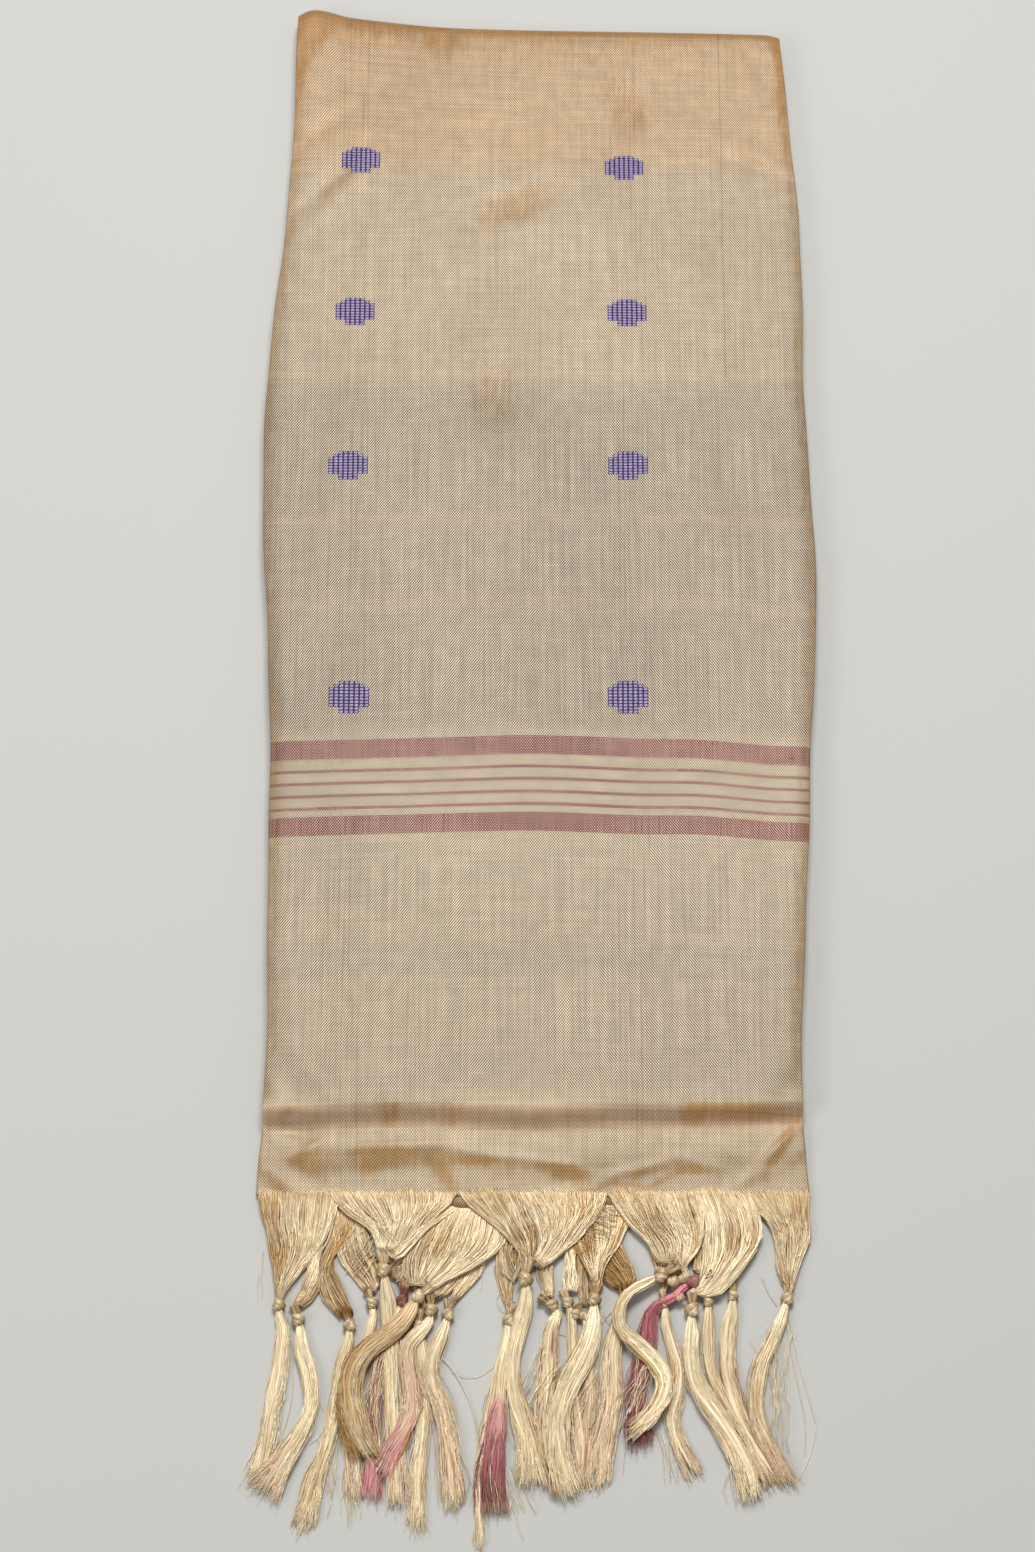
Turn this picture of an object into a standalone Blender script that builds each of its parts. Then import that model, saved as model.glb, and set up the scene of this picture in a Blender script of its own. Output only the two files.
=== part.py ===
"""A banana fibre saree folded into a long flat strip, its knotted end lying on top.

Metres, with +X across the strip, +Y along it away from the tassels, and +Z up.
The tables are in millimetres. Along is the distance from the top ply's cut edge towards the
far fold, and drop is the distance from that edge towards the tassels' tips. Across is
measured from the strip's middle line. The last step moves everything so that the origin is
under the middle of the whole thing, on the surface that it lies on.
"""

import math
from collections import namedtuple

import bmesh
import bpy
from mathutils import Vector

MM = 0.001
COLLECTION_NAME = "folded_saree"

# The stack of folded lengths
SEAM_GAP = 0.3
STRETCH_WALL = 2.0
INNER_PLY_WALL = 1.2
LAYER_COUNT = 6
LAYER_HEIGHT = 1.87
STACK_BOTTOM = STRETCH_WALL + SEAM_GAP
STACK_TOP = STACK_BOTTOM + LAYER_COUNT * LAYER_HEIGHT
TOP_UNDERSIDE = STACK_TOP + SEAM_GAP
FOLD_RADIUS = (TOP_UNDERSIDE + STRETCH_WALL) / 2
HEM_UNDERSIDE = INNER_PLY_WALL + SEAM_GAP

# The strip's two long edges, which bulge where the folds lie loose
OUTLINE = (
    # along, left, right
    (-12, -151.4, 146.0),
    (0, -151.4, 146.0),
    (14, -151.0, 145.0),
    (50, -148.6, 143.0),
    (90, -147.4, 144.4),
    (140, -147.6, 146.6),
    (190, -149.0, 149.4),
    (260, -150.2, 154.0),
    (333, -152.6, 158.8),
    (409, -157.8, 158.0),
    (474, -157.6, 156.4),
    (580, -149.4, 156.0),
    (660, -145.6, 152.6),
    (727, -144.0, 148.0),
)

# Where the far fold lies, which reaches further at the left corner
FAR_FOLD = (
    # across, along
    (-158, 738.5),
    (-140, 738.0),
    (-100, 733.0),
    (-66, 729.0),
    (-46, 727.0),
    (0, 726.0),
    (100, 724.2),
    (158, 722.5),
)

# How the top stretch comes down off the stack's near end and runs out flat to its edge
STEP_TOP = 58
NEAR_PROFILE = (
    # along, underside
    (0, HEM_UNDERSIDE),
    (26, HEM_UNDERSIDE),
    (32, HEM_UNDERSIDE + 0.4),
    (37, HEM_UNDERSIDE + 2.0),
    (41, HEM_UNDERSIDE + 5.0),
    (45, HEM_UNDERSIDE + 8.4),
    (49, TOP_UNDERSIDE - 1.6),
    (53, TOP_UNDERSIDE - 0.4),
    (STEP_TOP, TOP_UNDERSIDE),
)

# The largest creases near the cut edge, each a soft ridge in the top stretch
CREASES = (
    # across, along, length, turn in degrees, half width, height
    (-62, 20, 44, 12, 7, 1.5),
    (20, 16, 30, -14, 6, 1.1),
    (124, 18, 40, 48, 7, 1.9),
    (-128, 24, 30, 38, 6, 1.2),
)

# The hidden lengths from the lowest up: how far each is set in at the sides, and where it ends
LAYERS = (
    # left inset, right inset, near end along
    (3.0, 4.4, 43.5),
    (1.2, 2.2, 46.0),
    (4.0, 1.2, 48.5),
    (2.0, 3.6, 51.0),
    (3.6, 1.8, 54.5),
    (6.4, 6.8, 61.0),
)
LAYER_CORNER = 6.0
LAYER_CORNER_STEPS = 3
LAYER_GROOVE = 1.3
LAYER_EDGE_ROUND = 0.3
# Shares of a layer's height where its edge is fullest
LAYER_FULL = (0.25, 0.75)
FAR_CLEARANCE = 1.2
UNDER_STRETCH_INSET = 1.6
UNDER_STRETCH_NEAR_END = 41.0

# Where the sections of the top stretch stand, from its cut edge to the start of the far fold
STRETCH_STATIONS = (
    0, 7, 14, 21, 27, 32, 37, 41, 45, 49, 53, STEP_TOP,
    90, 140, 190, 260, 333, 409, 474, 530, 580, 640, 690, 722,
)
FOLD_START = STRETCH_STATIONS[-1]
FAR_SHIFT_START = 600
FOLD_STEPS = 6
# Shares of the half width where a section has its points
SHARES = (1.0, 0.985, 0.955, 0.88, 0.72, 0.54, 0.36, 0.18, 0.0)
EDGE_ROUND = 8.0
EDGE_DROOP = 1.5

# The tassels. Root is where the yarns leave the cloth, and row says which ply they leave:
# 1 the top ply, 0 the plies below. Level is how many tassels deep the loose ends lie.
Tassel = namedtuple(
    "Tassel", "row root spread knot knot_drop level bow tip tip_drop tip_spread"
)
TASSELS = tuple(Tassel(*sizes) for sizes in (
    # row, root, spread, knot, knot drop, level, bow, tip, tip drop, tip spread
    (1, -135.0, 30, -137.5, 60, 0, 0.0, -150.0, 150, 14),
    (0, -113.0, 18, -126.7, 68, 1, 13.0, -140.0, 156, 20),
    (1, -112.0, 14, -99.9, 71, 0, 2.0, -120.0, 174, 15),
    (1, -62.0, 28, -80.0, 43, 1, 3.0, -90.0, 160, 12),
    (0, -94.0, 14, -90.6, 62, 0, 0.0, -102.0, 170, 12),
    (0, -72.2, 8, -71.6, 55, 0, 0.0, -86.0, 163, 12),
    (0, -55.6, 10, -57.8, 53, 2, -21.0, -78.0, 154, 17),
    (0, -44.5, 10, -49.6, 64, 1, 5.0, -71.0, 163, 13),
    (0, -33.0, 10, -40.4, 58, 0, 0.0, -44.0, 167, 14),
    (0, -63.8, 7, -62.4, 71, 0, 0.0, -59.5, 174, 13),
    (1, -5.0, 60, -7.0, 47, 1, -1.0, -8.0, 156, 17),
    (0, -21.0, 10, -18.0, 68, 0, -5.0, -27.0, 184, 13),
    (0, 8.6, 12, 7.0, 60, 0, 0.0, 2.0, 156, 10),
    (0, 20.0, 10, 16.4, 66, 0, 0.0, 13.2, 159, 10),
    (0, 30.0, 8, 25.0, 60, 0, 0.0, 24.2, 160, 10),
    (0, 40.0, 10, 33.4, 68, 0, 0.0, 35.2, 156, 10),
    (0, 53.0, 14, 45.2, 56, 0, 0.0, 47.0, 152, 10),
    (1, 60.0, 56, 63.6, 43, 2, -18.0, 30.0, 157, 13),
    (0, 84.0, 12, 78.6, 50, 2, -9.0, 55.0, 132, 11),
    (0, 70.0, 14, 66.0, 60, 0, 2.0, 79.0, 152, 15),
    (1, 104.0, 28, 86.6, 65, 0, -2.0, 96.0, 160, 13),
    (0, 104.0, 10, 101.5, 57, 1, 0.0, 111.0, 158, 12),
    (0, 117.0, 12, 113.0, 60, 0, -1.0, 125.0, 157, 12),
    (1, 134.0, 24, 131.6, 55, 1, -16.0, 134.0, 155, 12),
))
LOCKS = 4
LOCK_HEIGHT = 2.1
LOCK_FILL = 0.84
NECK_SPACING = 1.1
BODY_SPACING = 1.9
FAN_SPREADING = 1.3
FAN_THINNING = 0.4
BODY_STEPS = 5
BODY_THINNING = 0.25
# The share of their length within which the loose ends come down from the knot's height
BODY_SINKING = 1 / 6
KNOT_LENGTH = 8.0
KNOT_WIDTH = 7.0
KNOT_HEIGHT = 5.4
KNOT_ROUND = 0.45
KNOT_SHOULDER = 0.45
# How strongly a curve keeps its direction where it starts and ends, as shares of its length
FAN_PULLS = (0.6, 0.8)
BODY_PULLS = (0.4, 0.7)
# By row: the shares of the way to the cloth where the gathered yarns have a section
FAN_SHARES = ((0.36, 0.7, 1.0), (0.32, 0.62, 0.87, 1.0))
# By row: how high the gathered yarns run, how high they leave the cloth, and where
FAN_HEIGHTS = (1.35, 3.65)
ROOT_HEIGHTS = (1.35, 2.6)
ROOT_DROPS = (10.8, 0.3)
# By level: how high the knots and the loose ends lie
KNOT_HEIGHTS = (3.1, 3.1, 5.7)
LEVEL_HEIGHTS = (1.45, 4.3, 7.4)

COLOURS = {
    # base colour, roughness
    "cloth": ((0.56, 0.43, 0.30, 1.0), 0.55),
    "cloth_shade": ((0.50, 0.38, 0.26, 1.0), 0.6),
    "yarn": ((0.80, 0.70, 0.52, 1.0), 0.5),
}


def between(rows, position, column=1):
    """Reads a table's column at a position of its first column, straight from row to row."""
    if position <= rows[0][0]:
        return rows[0][column]
    for low, high in zip(rows, rows[1:]):
        if position <= high[0]:
            share = (position - low[0]) / (high[0] - low[0])
            return low[column] + (high[column] - low[column]) * share
    return rows[-1][column]


def eased(value):
    """Rises smoothly from 0 to 1."""
    value = min(max(value, 0.0), 1.0)
    return value * value * (3 - 2 * value)


def material(name):
    """A plain finish for one kind of piece."""
    made = bpy.data.materials.get(name)
    if made is None:
        colour, roughness = COLOURS[name]
        made = bpy.data.materials.new(name)
        made.use_nodes = True
        shader = made.node_tree.nodes["Principled BSDF"]
        shader.inputs["Base Color"].default_value = colour
        shader.inputs["Roughness"].default_value = roughness
        shader.inputs["Metallic"].default_value = 0.0
    return made


def add_object(name, mesh_builder, finish, collection):
    """Turns a bmesh in millimetres into one named object in metres."""
    bmesh.ops.scale(mesh_builder, vec=Vector((MM, MM, MM)), verts=mesh_builder.verts)
    bmesh.ops.recalc_face_normals(mesh_builder, faces=mesh_builder.faces)
    mesh = bpy.data.meshes.new(name)
    mesh_builder.to_mesh(mesh)
    mesh_builder.free()
    mesh.materials.append(material(finish))
    made = bpy.data.objects.new(name, mesh)
    collection.objects.link(made)
    return made


def join_loops(built, loops):
    """Faces between each loop of points and the next."""
    count = len(loops[0])
    for low, high in zip(loops, loops[1:]):
        for i in range(count):
            j = (i + 1) % count
            built.faces.new((low[i], low[j], high[j], high[i]))


def loft(rings):
    """Joins closed rings of equal length into one capped body."""
    built = bmesh.new()
    loops = [[built.verts.new(point) for point in ring] for ring in rings]
    join_loops(built, loops)
    built.faces.new(reversed(loops[0]))
    built.faces.new(loops[-1])
    return built


def far_fold(across):
    """How far along the far fold lies at a place across the strip."""
    return between(FAR_FOLD, across)


def crease_height(across, along):
    """The rise of the main creases near the cut edge."""
    height = 0.0
    for middle, centre, length, turn, half_width, rise in CREASES:
        angle = math.radians(turn)
        off_across = across - middle
        off_along = along - centre
        lengthwise = (off_across * math.cos(angle) + off_along * math.sin(angle)) / (length / 2)
        sideways = (off_along * math.cos(angle) - off_across * math.sin(angle)) / half_width
        height += rise * math.exp(-lengthwise * lengthwise - sideways * sideways)
    return height


def section_places(left, right):
    """Points across a section from its left edge to its right, closer near the edges."""
    middle = (left + right) / 2
    half = (right - left) / 2
    lefts = [middle - half * share for share in SHARES]
    rights = [middle + half * share for share in reversed(SHARES[:-1])]
    return lefts + rights


def stretch_ring(left, right, place, wall):
    """One closed section: over the top from left to right, and back along the underside.

    place(across, offset) gives the point that lies offset above the stretch's underside.
    """
    across = section_places(left, right)
    inner = across[1:-1]
    over = [place(x, wall) for x in inner]
    back = [place(x, 0.0) for x in reversed(inner)]
    return [place(across[0], wall / 2)] + over + [place(across[-1], wall / 2)] + back


def edge_droop(across, left, right):
    """How far a folded edge sinks within the last few millimetres."""
    distance = min(across - left, right - across)
    depth = max(0.0, (EDGE_ROUND - distance) / EDGE_ROUND)
    return EDGE_DROOP * depth * depth


def top_stretch():
    """The whole visible top: up from the cut edge, along the stack, and round the far fold."""
    rings = []
    for station in STRETCH_STATIONS:
        left = between(OUTLINE, station, 1)
        right = between(OUTLINE, station, 2)
        underside = between(NEAR_PROFILE, station)
        on_stack = eased((underside - HEM_UNDERSIDE) / (TOP_UNDERSIDE - HEM_UNDERSIDE))
        far_share = eased((station - FAR_SHIFT_START) / (FOLD_START - FAR_SHIFT_START))

        def place(across, offset):
            end = far_fold(across) - FOLD_RADIUS
            along = station + far_share * (end - FOLD_START)
            droop = edge_droop(across, left, right) * on_stack
            rise = crease_height(across, station) * (1 - on_stack)
            return Vector((across, along, underside - droop + rise + offset))

        rings.append(stretch_ring(left, right, place, STRETCH_WALL))
    left = between(OUTLINE, OUTLINE[-1][0], 1)
    right = between(OUTLINE, OUTLINE[-1][0], 2)
    for step in range(1, FOLD_STEPS + 1):
        angle = math.pi * step / FOLD_STEPS

        def place_on_fold(across, offset):
            end = far_fold(across) - FOLD_RADIUS
            radius = FOLD_RADIUS - STRETCH_WALL + offset - edge_droop(across, left, right)
            return Vector((
                across,
                end + radius * math.sin(angle),
                FOLD_RADIUS + radius * math.cos(angle),
            ))

        rings.append(stretch_ring(left, right, place_on_fold, STRETCH_WALL))
    return loft(rings)


def under_stretch():
    """The lowest length, flat on the surface, which ends where the far fold comes down."""
    rings = []
    for station in [UNDER_STRETCH_NEAR_END] + [s for s in STRETCH_STATIONS if s > STEP_TOP]:
        far_share = eased((station - FAR_SHIFT_START) / (FOLD_START - FAR_SHIFT_START))
        inset = UNDER_STRETCH_INSET * (1 - far_share)
        edge_station = OUTLINE[-1][0] if station == FOLD_START else station
        left = between(OUTLINE, edge_station, 1) + inset
        right = between(OUTLINE, edge_station, 2) - inset

        def place(across, offset):
            end = far_fold(across) - FOLD_RADIUS - SEAM_GAP
            along = station + far_share * (end - FOLD_START)
            return Vector((across, along, offset))

        rings.append(stretch_ring(left, right, place, STRETCH_WALL))
    return loft(rings)


def inner_plies():
    """The lower plies of the cut end, flat on the surface, a little longer than the top ply."""
    rings = []
    cut_edge = SEAM_GAP - ROOT_DROPS[0]
    for station in (UNDER_STRETCH_NEAR_END - SEAM_GAP, UNDER_STRETCH_NEAR_END / 2, 0.0, cut_edge):
        left = between(OUTLINE, station, 1) + UNDER_STRETCH_INSET
        right = between(OUTLINE, station, 2) - UNDER_STRETCH_INSET

        def place(across, offset):
            return Vector((across, station, offset))

        rings.append(stretch_ring(left, right, place, INNER_PLY_WALL))
    return loft(rings)


def layer_ring(height, left_inset, right_inset, near_end, shrink):
    """One level outline of the hidden lengths, with round corners."""
    reach = FOLD_RADIUS - STRETCH_WALL - SEAM_GAP
    rise = min(abs(height - FOLD_RADIUS), reach)
    far_reach = math.sqrt(reach * reach - rise * rise)

    def side(column, inset, station):
        edge = between(OUTLINE, station, column)
        return edge + inset + shrink if column == 1 else edge - inset - shrink

    def far_end(across):
        return far_fold(across) - FOLD_RADIUS + far_reach - FAR_CLEARANCE - shrink

    stations = [s for s in STRETCH_STATIONS if STEP_TOP < s < FOLD_START]
    near = near_end + shrink
    near_left = side(1, left_inset, near)
    near_right = side(2, right_inset, near)
    far_left = side(1, left_inset, FOLD_START)
    far_right = side(2, right_inset, FOLD_START)
    points = []

    def round_corner(centre_x, centre_y, start):
        for step in range(LAYER_CORNER_STEPS + 1):
            angle = math.radians(start + 90 * step / LAYER_CORNER_STEPS)
            points.append((
                centre_x + LAYER_CORNER * math.cos(angle),
                centre_y + LAYER_CORNER * math.sin(angle),
            ))

    round_corner(near_left + LAYER_CORNER, near + LAYER_CORNER, 180)
    for share in (0.25, 0.5, 0.75):
        points.append((near_left + (near_right - near_left) * share, near))
    round_corner(near_right - LAYER_CORNER, near + LAYER_CORNER, 270)
    points.extend((side(2, right_inset, s), s) for s in stations)
    round_corner(far_right - LAYER_CORNER, far_end(far_right) - LAYER_CORNER, 0)
    for share in (0.2, 0.4, 0.6, 0.8):
        across = far_right + (far_left - far_right) * share
        points.append((across, far_end(across)))
    round_corner(far_left + LAYER_CORNER, far_end(far_left) - LAYER_CORNER, 90)
    points.extend((side(1, left_inset, s), s) for s in reversed(stations))
    return [Vector((x, y, height)) for x, y in points]


def folded_layers():
    """The hidden lengths as one rounded solid, with a groove between each two at the edges."""
    rings = []
    for i, (left_inset, right_inset, near_end) in enumerate(LAYERS):
        bottom = STACK_BOTTOM + i * LAYER_HEIGHT
        if i == 0:
            rings.append(layer_ring(bottom, left_inset, right_inset, near_end, LAYER_GROOVE))
        for share in LAYER_FULL:
            height = bottom + LAYER_HEIGHT * share
            rings.append(layer_ring(height, left_inset, right_inset, near_end, LAYER_EDGE_ROUND))
        above = LAYERS[min(i + 1, LAYER_COUNT - 1)]
        rings.append(layer_ring(
            bottom + LAYER_HEIGHT,
            max(left_inset, above[0]),
            max(right_inset, above[1]),
            max(near_end, above[2]),
            LAYER_GROOVE,
        ))
    return loft(rings)


def knot_ring(centre, side, width, height):
    """A knot's section: a row of cells over the same row below, thinner at its sides."""
    ring = []
    for level in (1, -1):
        cells = range(LOCKS + 1) if level == 1 else range(LOCKS, -1, -1)
        for cell in cells:
            share = cell / LOCKS * 2 - 1
            lift = 1 - KNOT_ROUND * share * share * (height / KNOT_HEIGHT)
            offset = side * (width / 2 * share)
            ring.append(centre + offset + Vector((0, 0, level * height / 2 * lift)))
    return ring


def grow(built, face, sections):
    """Extrudes one face through a row of four-cornered sections."""
    for corners in sections:
        new = bmesh.ops.extrude_discrete_faces(built, faces=[face])["faces"][0]
        for vert, corner in zip(new.verts, corners):
            vert.co = corner
        face = new


def flat_section(centre, side, width, height):
    """Four corners of a lock's section, in the order of a knot cell's corners."""
    half = side * (width / 2)
    up = Vector((0, 0, height / 2))
    return (centre - half + up, centre + half + up, centre + half - up, centre - half - up)


def turned(direction):
    """The level direction to the right of one that runs towards the tips."""
    return Vector((-direction.y, direction.x, 0)).normalized()


def curve_point(start, start_pull, end, end_pull, share):
    """A point on a smooth curve that leaves and arrives in given directions."""
    s2 = share * share
    s3 = s2 * share
    return (
        start * (2 * s3 - 3 * s2 + 1)
        + start_pull * (s3 - 2 * s2 + share)
        + end * (3 * s2 - 2 * s3)
        + end_pull * (s3 - s2)
    )


def tassel(sizes):
    """One knot with its gathered yarns above and its loose ends below, as a single body."""
    knot = Vector((sizes.knot, -sizes.knot_drop, KNOT_HEIGHTS[sizes.level]))
    root = Vector((sizes.root, -ROOT_DROPS[sizes.row], knot.z))
    leaning_tip = Vector((sizes.tip + 2 * sizes.bow, -sizes.tip_drop, knot.z))
    axis = ((knot - root).normalized() + (leaning_tip - knot).normalized()).normalized()
    half = axis * (KNOT_LENGTH / 2)
    neck = NECK_SPACING * LOCKS
    stations = (
        # share of the knot's half length, width, height
        (-1, neck, LOCK_HEIGHT),
        (-KNOT_SHOULDER, KNOT_WIDTH, KNOT_HEIGHT),
        (KNOT_SHOULDER, KNOT_WIDTH, KNOT_HEIGHT),
        (1, neck, LOCK_HEIGHT),
    )
    built = bmesh.new()
    loops = []
    for share, width, height in stations:
        ring = knot_ring(knot + half * share, turned(axis), width, height)
        loops.append([built.verts.new(point) for point in ring])
    join_loops(built, loops)
    last = len(loops[0]) - 1
    ends = (
        (loops[0], fan_sections, knot - half),
        (loops[-1], body_sections, knot + half),
    )
    for loop, sections, start in ends:
        for cell in range(LOCKS):
            corners = (loop[cell], loop[cell + 1], loop[last - cell - 1], loop[last - cell])
            grow(built, built.faces.new(corners), sections(sizes, cell, start, axis))
    return built


def fan_sections(sizes, cell, start, axis):
    """A lock of gathered yarns, from the knot up to the cloth, where it is wide and flat."""
    share = (cell + 0.5) / LOCKS * 2 - 1
    end = Vector((sizes.root, -ROOT_DROPS[sizes.row], ROOT_HEIGHTS[sizes.row]))
    reach = (end - start).length
    start_pull = -axis * (reach * FAN_PULLS[0])
    end_pull = Vector((0, reach * FAN_PULLS[1], 0))
    sections = []
    for t in FAN_SHARES[sizes.row]:
        point = curve_point(start, start_pull, end, end_pull, t)
        if t < 1:
            point.z = FAN_HEIGHTS[sizes.row]
        spacing = NECK_SPACING + (sizes.spread / LOCKS - NECK_SPACING) * t ** FAN_SPREADING
        turn = (turned(axis) * (1 - t) + Vector((1, 0, 0)) * t).normalized()
        point += turn * (share * spacing * LOCKS / 2)
        height = LOCK_HEIGHT - FAN_THINNING * t
        sections.append(flat_section(point, turn, spacing * LOCK_FILL, height))
    return sections


def body_sections(sizes, cell, start, axis):
    """A lock of loose ends, from the knot down to its tip."""
    share = (cell + 0.5) / LOCKS * 2 - 1
    end = Vector((sizes.tip, -sizes.tip_drop, LEVEL_HEIGHTS[sizes.level]))
    reach = (end - start).length
    start_pull = axis * (reach * BODY_PULLS[0])
    end_pull = (end - start) * BODY_PULLS[1]

    def middle(t):
        point = curve_point(start, start_pull, end, end_pull, t)
        point.x += sizes.bow * math.sin(math.pi * t)
        point.z = start.z + (end.z - start.z) * eased(t / BODY_SINKING)
        return point

    sections = []
    for step in range(1, BODY_STEPS + 1):
        t = step / BODY_STEPS
        ahead = middle(min(t + 0.05, 1.0)) - middle(max(t - 0.05, 0.0))
        turn = turned(ahead)
        spacing = NECK_SPACING + (BODY_SPACING - NECK_SPACING) * eased(t * 2)
        spacing += (sizes.tip_spread / LOCKS - BODY_SPACING) * t * t
        point = middle(t) + turn * (share * spacing * LOCKS / 2)
        height = LOCK_HEIGHT * (1 - BODY_THINNING * t)
        sections.append(flat_section(point, turn, spacing * LOCK_FILL, height))
    return sections


def clear_scene():
    """Takes away what the file holds before the saree is made."""
    for old in list(bpy.data.objects):
        bpy.data.objects.remove(old)


def settle_origin(pieces):
    """Moves every piece so that the origin is under the middle of the whole."""
    corners = [vert.co for piece in pieces for vert in piece.data.vertices]
    middle_x = (min(c.x for c in corners) + max(c.x for c in corners)) / 2
    middle_y = (min(c.y for c in corners) + max(c.y for c in corners)) / 2
    lowest = min(c.z for c in corners)
    for piece in pieces:
        for vert in piece.data.vertices:
            vert.co -= Vector((middle_x, middle_y, lowest))


def main():
    clear_scene()
    collection = bpy.data.collections.new(COLLECTION_NAME)
    bpy.context.scene.collection.children.link(collection)
    pieces = [
        add_object("under_stretch", under_stretch(), "cloth_shade", collection),
        add_object("folded_layers", folded_layers(), "cloth_shade", collection),
        add_object("inner_plies", inner_plies(), "cloth_shade", collection),
        add_object("top_stretch", top_stretch(), "cloth", collection),
    ]
    for number, sizes in enumerate(TASSELS, 1):
        pieces.append(add_object(f"tassel_{number:02d}", tassel(sizes), "yarn", collection))
    settle_origin(pieces)


main()
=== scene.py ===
import math
import random

import bmesh
import bpy
import numpy as np
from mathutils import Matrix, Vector


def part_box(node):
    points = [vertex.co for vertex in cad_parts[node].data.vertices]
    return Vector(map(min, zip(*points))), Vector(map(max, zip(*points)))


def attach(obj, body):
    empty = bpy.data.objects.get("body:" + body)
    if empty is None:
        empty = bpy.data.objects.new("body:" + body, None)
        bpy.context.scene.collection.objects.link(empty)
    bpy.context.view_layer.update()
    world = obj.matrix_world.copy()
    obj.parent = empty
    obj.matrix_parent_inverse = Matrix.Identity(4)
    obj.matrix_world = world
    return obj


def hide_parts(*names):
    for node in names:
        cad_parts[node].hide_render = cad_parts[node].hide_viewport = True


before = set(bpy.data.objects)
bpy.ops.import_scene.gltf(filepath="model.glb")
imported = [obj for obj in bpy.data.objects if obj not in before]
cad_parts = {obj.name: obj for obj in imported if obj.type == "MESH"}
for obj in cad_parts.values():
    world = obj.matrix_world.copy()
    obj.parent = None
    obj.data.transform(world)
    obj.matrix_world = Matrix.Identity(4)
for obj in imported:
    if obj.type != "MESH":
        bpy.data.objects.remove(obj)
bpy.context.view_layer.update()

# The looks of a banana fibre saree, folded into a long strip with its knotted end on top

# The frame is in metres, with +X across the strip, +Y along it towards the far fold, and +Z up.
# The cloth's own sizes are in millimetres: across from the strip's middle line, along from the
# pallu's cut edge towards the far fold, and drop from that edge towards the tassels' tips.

MM = 0.001
SEED = 11

# The strip's two long edges
OUTLINE = (
    # along, left, right
    (-12, -151.4, 146.0),
    (0, -151.4, 146.0),
    (14, -151.0, 145.0),
    (50, -148.6, 143.0),
    (90, -147.4, 144.4),
    (140, -147.6, 146.6),
    (190, -149.0, 149.4),
    (260, -150.2, 154.0),
    (333, -152.6, 158.8),
    (409, -157.8, 158.0),
    (474, -157.6, 156.4),
    (580, -149.4, 156.0),
    (660, -145.6, 152.6),
    (727, -144.0, 148.0),
)
FAR_FOLD = (
    # across, along
    (-158, 740.0),
    (-146, 741.5),
    (-137, 744.0),
    (-129, 743.5),
    (-114, 739.0),
    (-94, 736.0),
    (-66, 732.5),
    (-46, 731.0),
    (0, 729.5),
    (100, 727.5),
    (158, 725.5),
)
# The height of the pallu's outer surface where it comes down off the stack
STEP_DOWN = (
    # along, height
    (0, 3.5),
    (6, 3.5),
    (14, 4.1),
    (22, 5.3),
    (29, 5.6),
    (36, 5.5),
    (38.8, 6.0),
    (40.4, 7.4),
    (42, 9.8),
    (43.8, 12.6),
    (45.3, 14.5),
    (46.6, 15.4),
    (48.4, 15.75),
    (60, 15.82),
)
TOP_HEIGHT = STEP_DOWN[-1][1]
HEM_HEIGHT = STEP_DOWN[0][1]
FOLD_RADIUS = TOP_HEIGHT / 2
FOLD_START = 722
FAR_SHIFT_START = 600
FOLD_LENGTH = math.pi * FOLD_RADIUS
UNDER_RETURN = 14
ROLL_RADIUS = 1.0
ROLL_RETURN = 5.0
EDGE_ROUND = 9.0
EDGE_DROOP = 1.5
CLOTH_THICKNESS = 0.35

# Where the middle line and the cut edge lie in the frame
LOW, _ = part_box("top_stretch")
HEM_Y = LOW.y
MIDDLE_X = LOW.x - min(left for _, left, _ in OUTLINE) * MM

# How the step, the edges of the sheets and the height of the lower plies waver
STEP_WAVES = (
    # size, mm for a radian, phase
    (1.3, 47, 0.6),
    (0.9, 19, 2.0),
)
STEP_SLANT = 0.012
HEM_WAVES = (
    # size, mm for a radian, phase
    (0.45, 21, 1.0),
    (0.4, 8.3, 0.0),
)
HEM_REACH = 16
EDGE_WAVES = (
    # size, mm for a radian, share of the side's phase
    (0.5, 31, 1),
    (0.3, 12.7, 2),
)
EDGE_PHASES = {-1: 0.0, 1: 1.9}
LENGTH_WAVES = (
    # size, mm for a radian, share of the level's phase
    (0.35, 23, 1),
    (0.25, 9.1, 3),
)
PLY_EDGE_WAVES = (
    # size, mm for a radian, share of the ply's phase
    (0.5, 5.3, 1),
    (0.7, 17, 2),
)
PLY_LIFT_WAVES = (
    # size, mm for a radian, share of the ply's phase
    (0.16, 9, 1),
)

# The grid of the pallu's cloth. The columns past its top roll under the long edges.
PALLU_ROWS = (
    # start, end, distance between rows
    (0, 28, 1.6),
    (28, 62, 1.4),
    (62, FOLD_START, 3.1),
    (FOLD_START, FOLD_START + FOLD_LENGTH, 1.5),
    (FOLD_START + FOLD_LENGTH, FOLD_START + FOLD_LENGTH + UNDER_RETURN, 4),
)
TOP_COLUMNS = 108
ROLL_COLUMNS = 6
PAST_ROLL = 3.0

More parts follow.
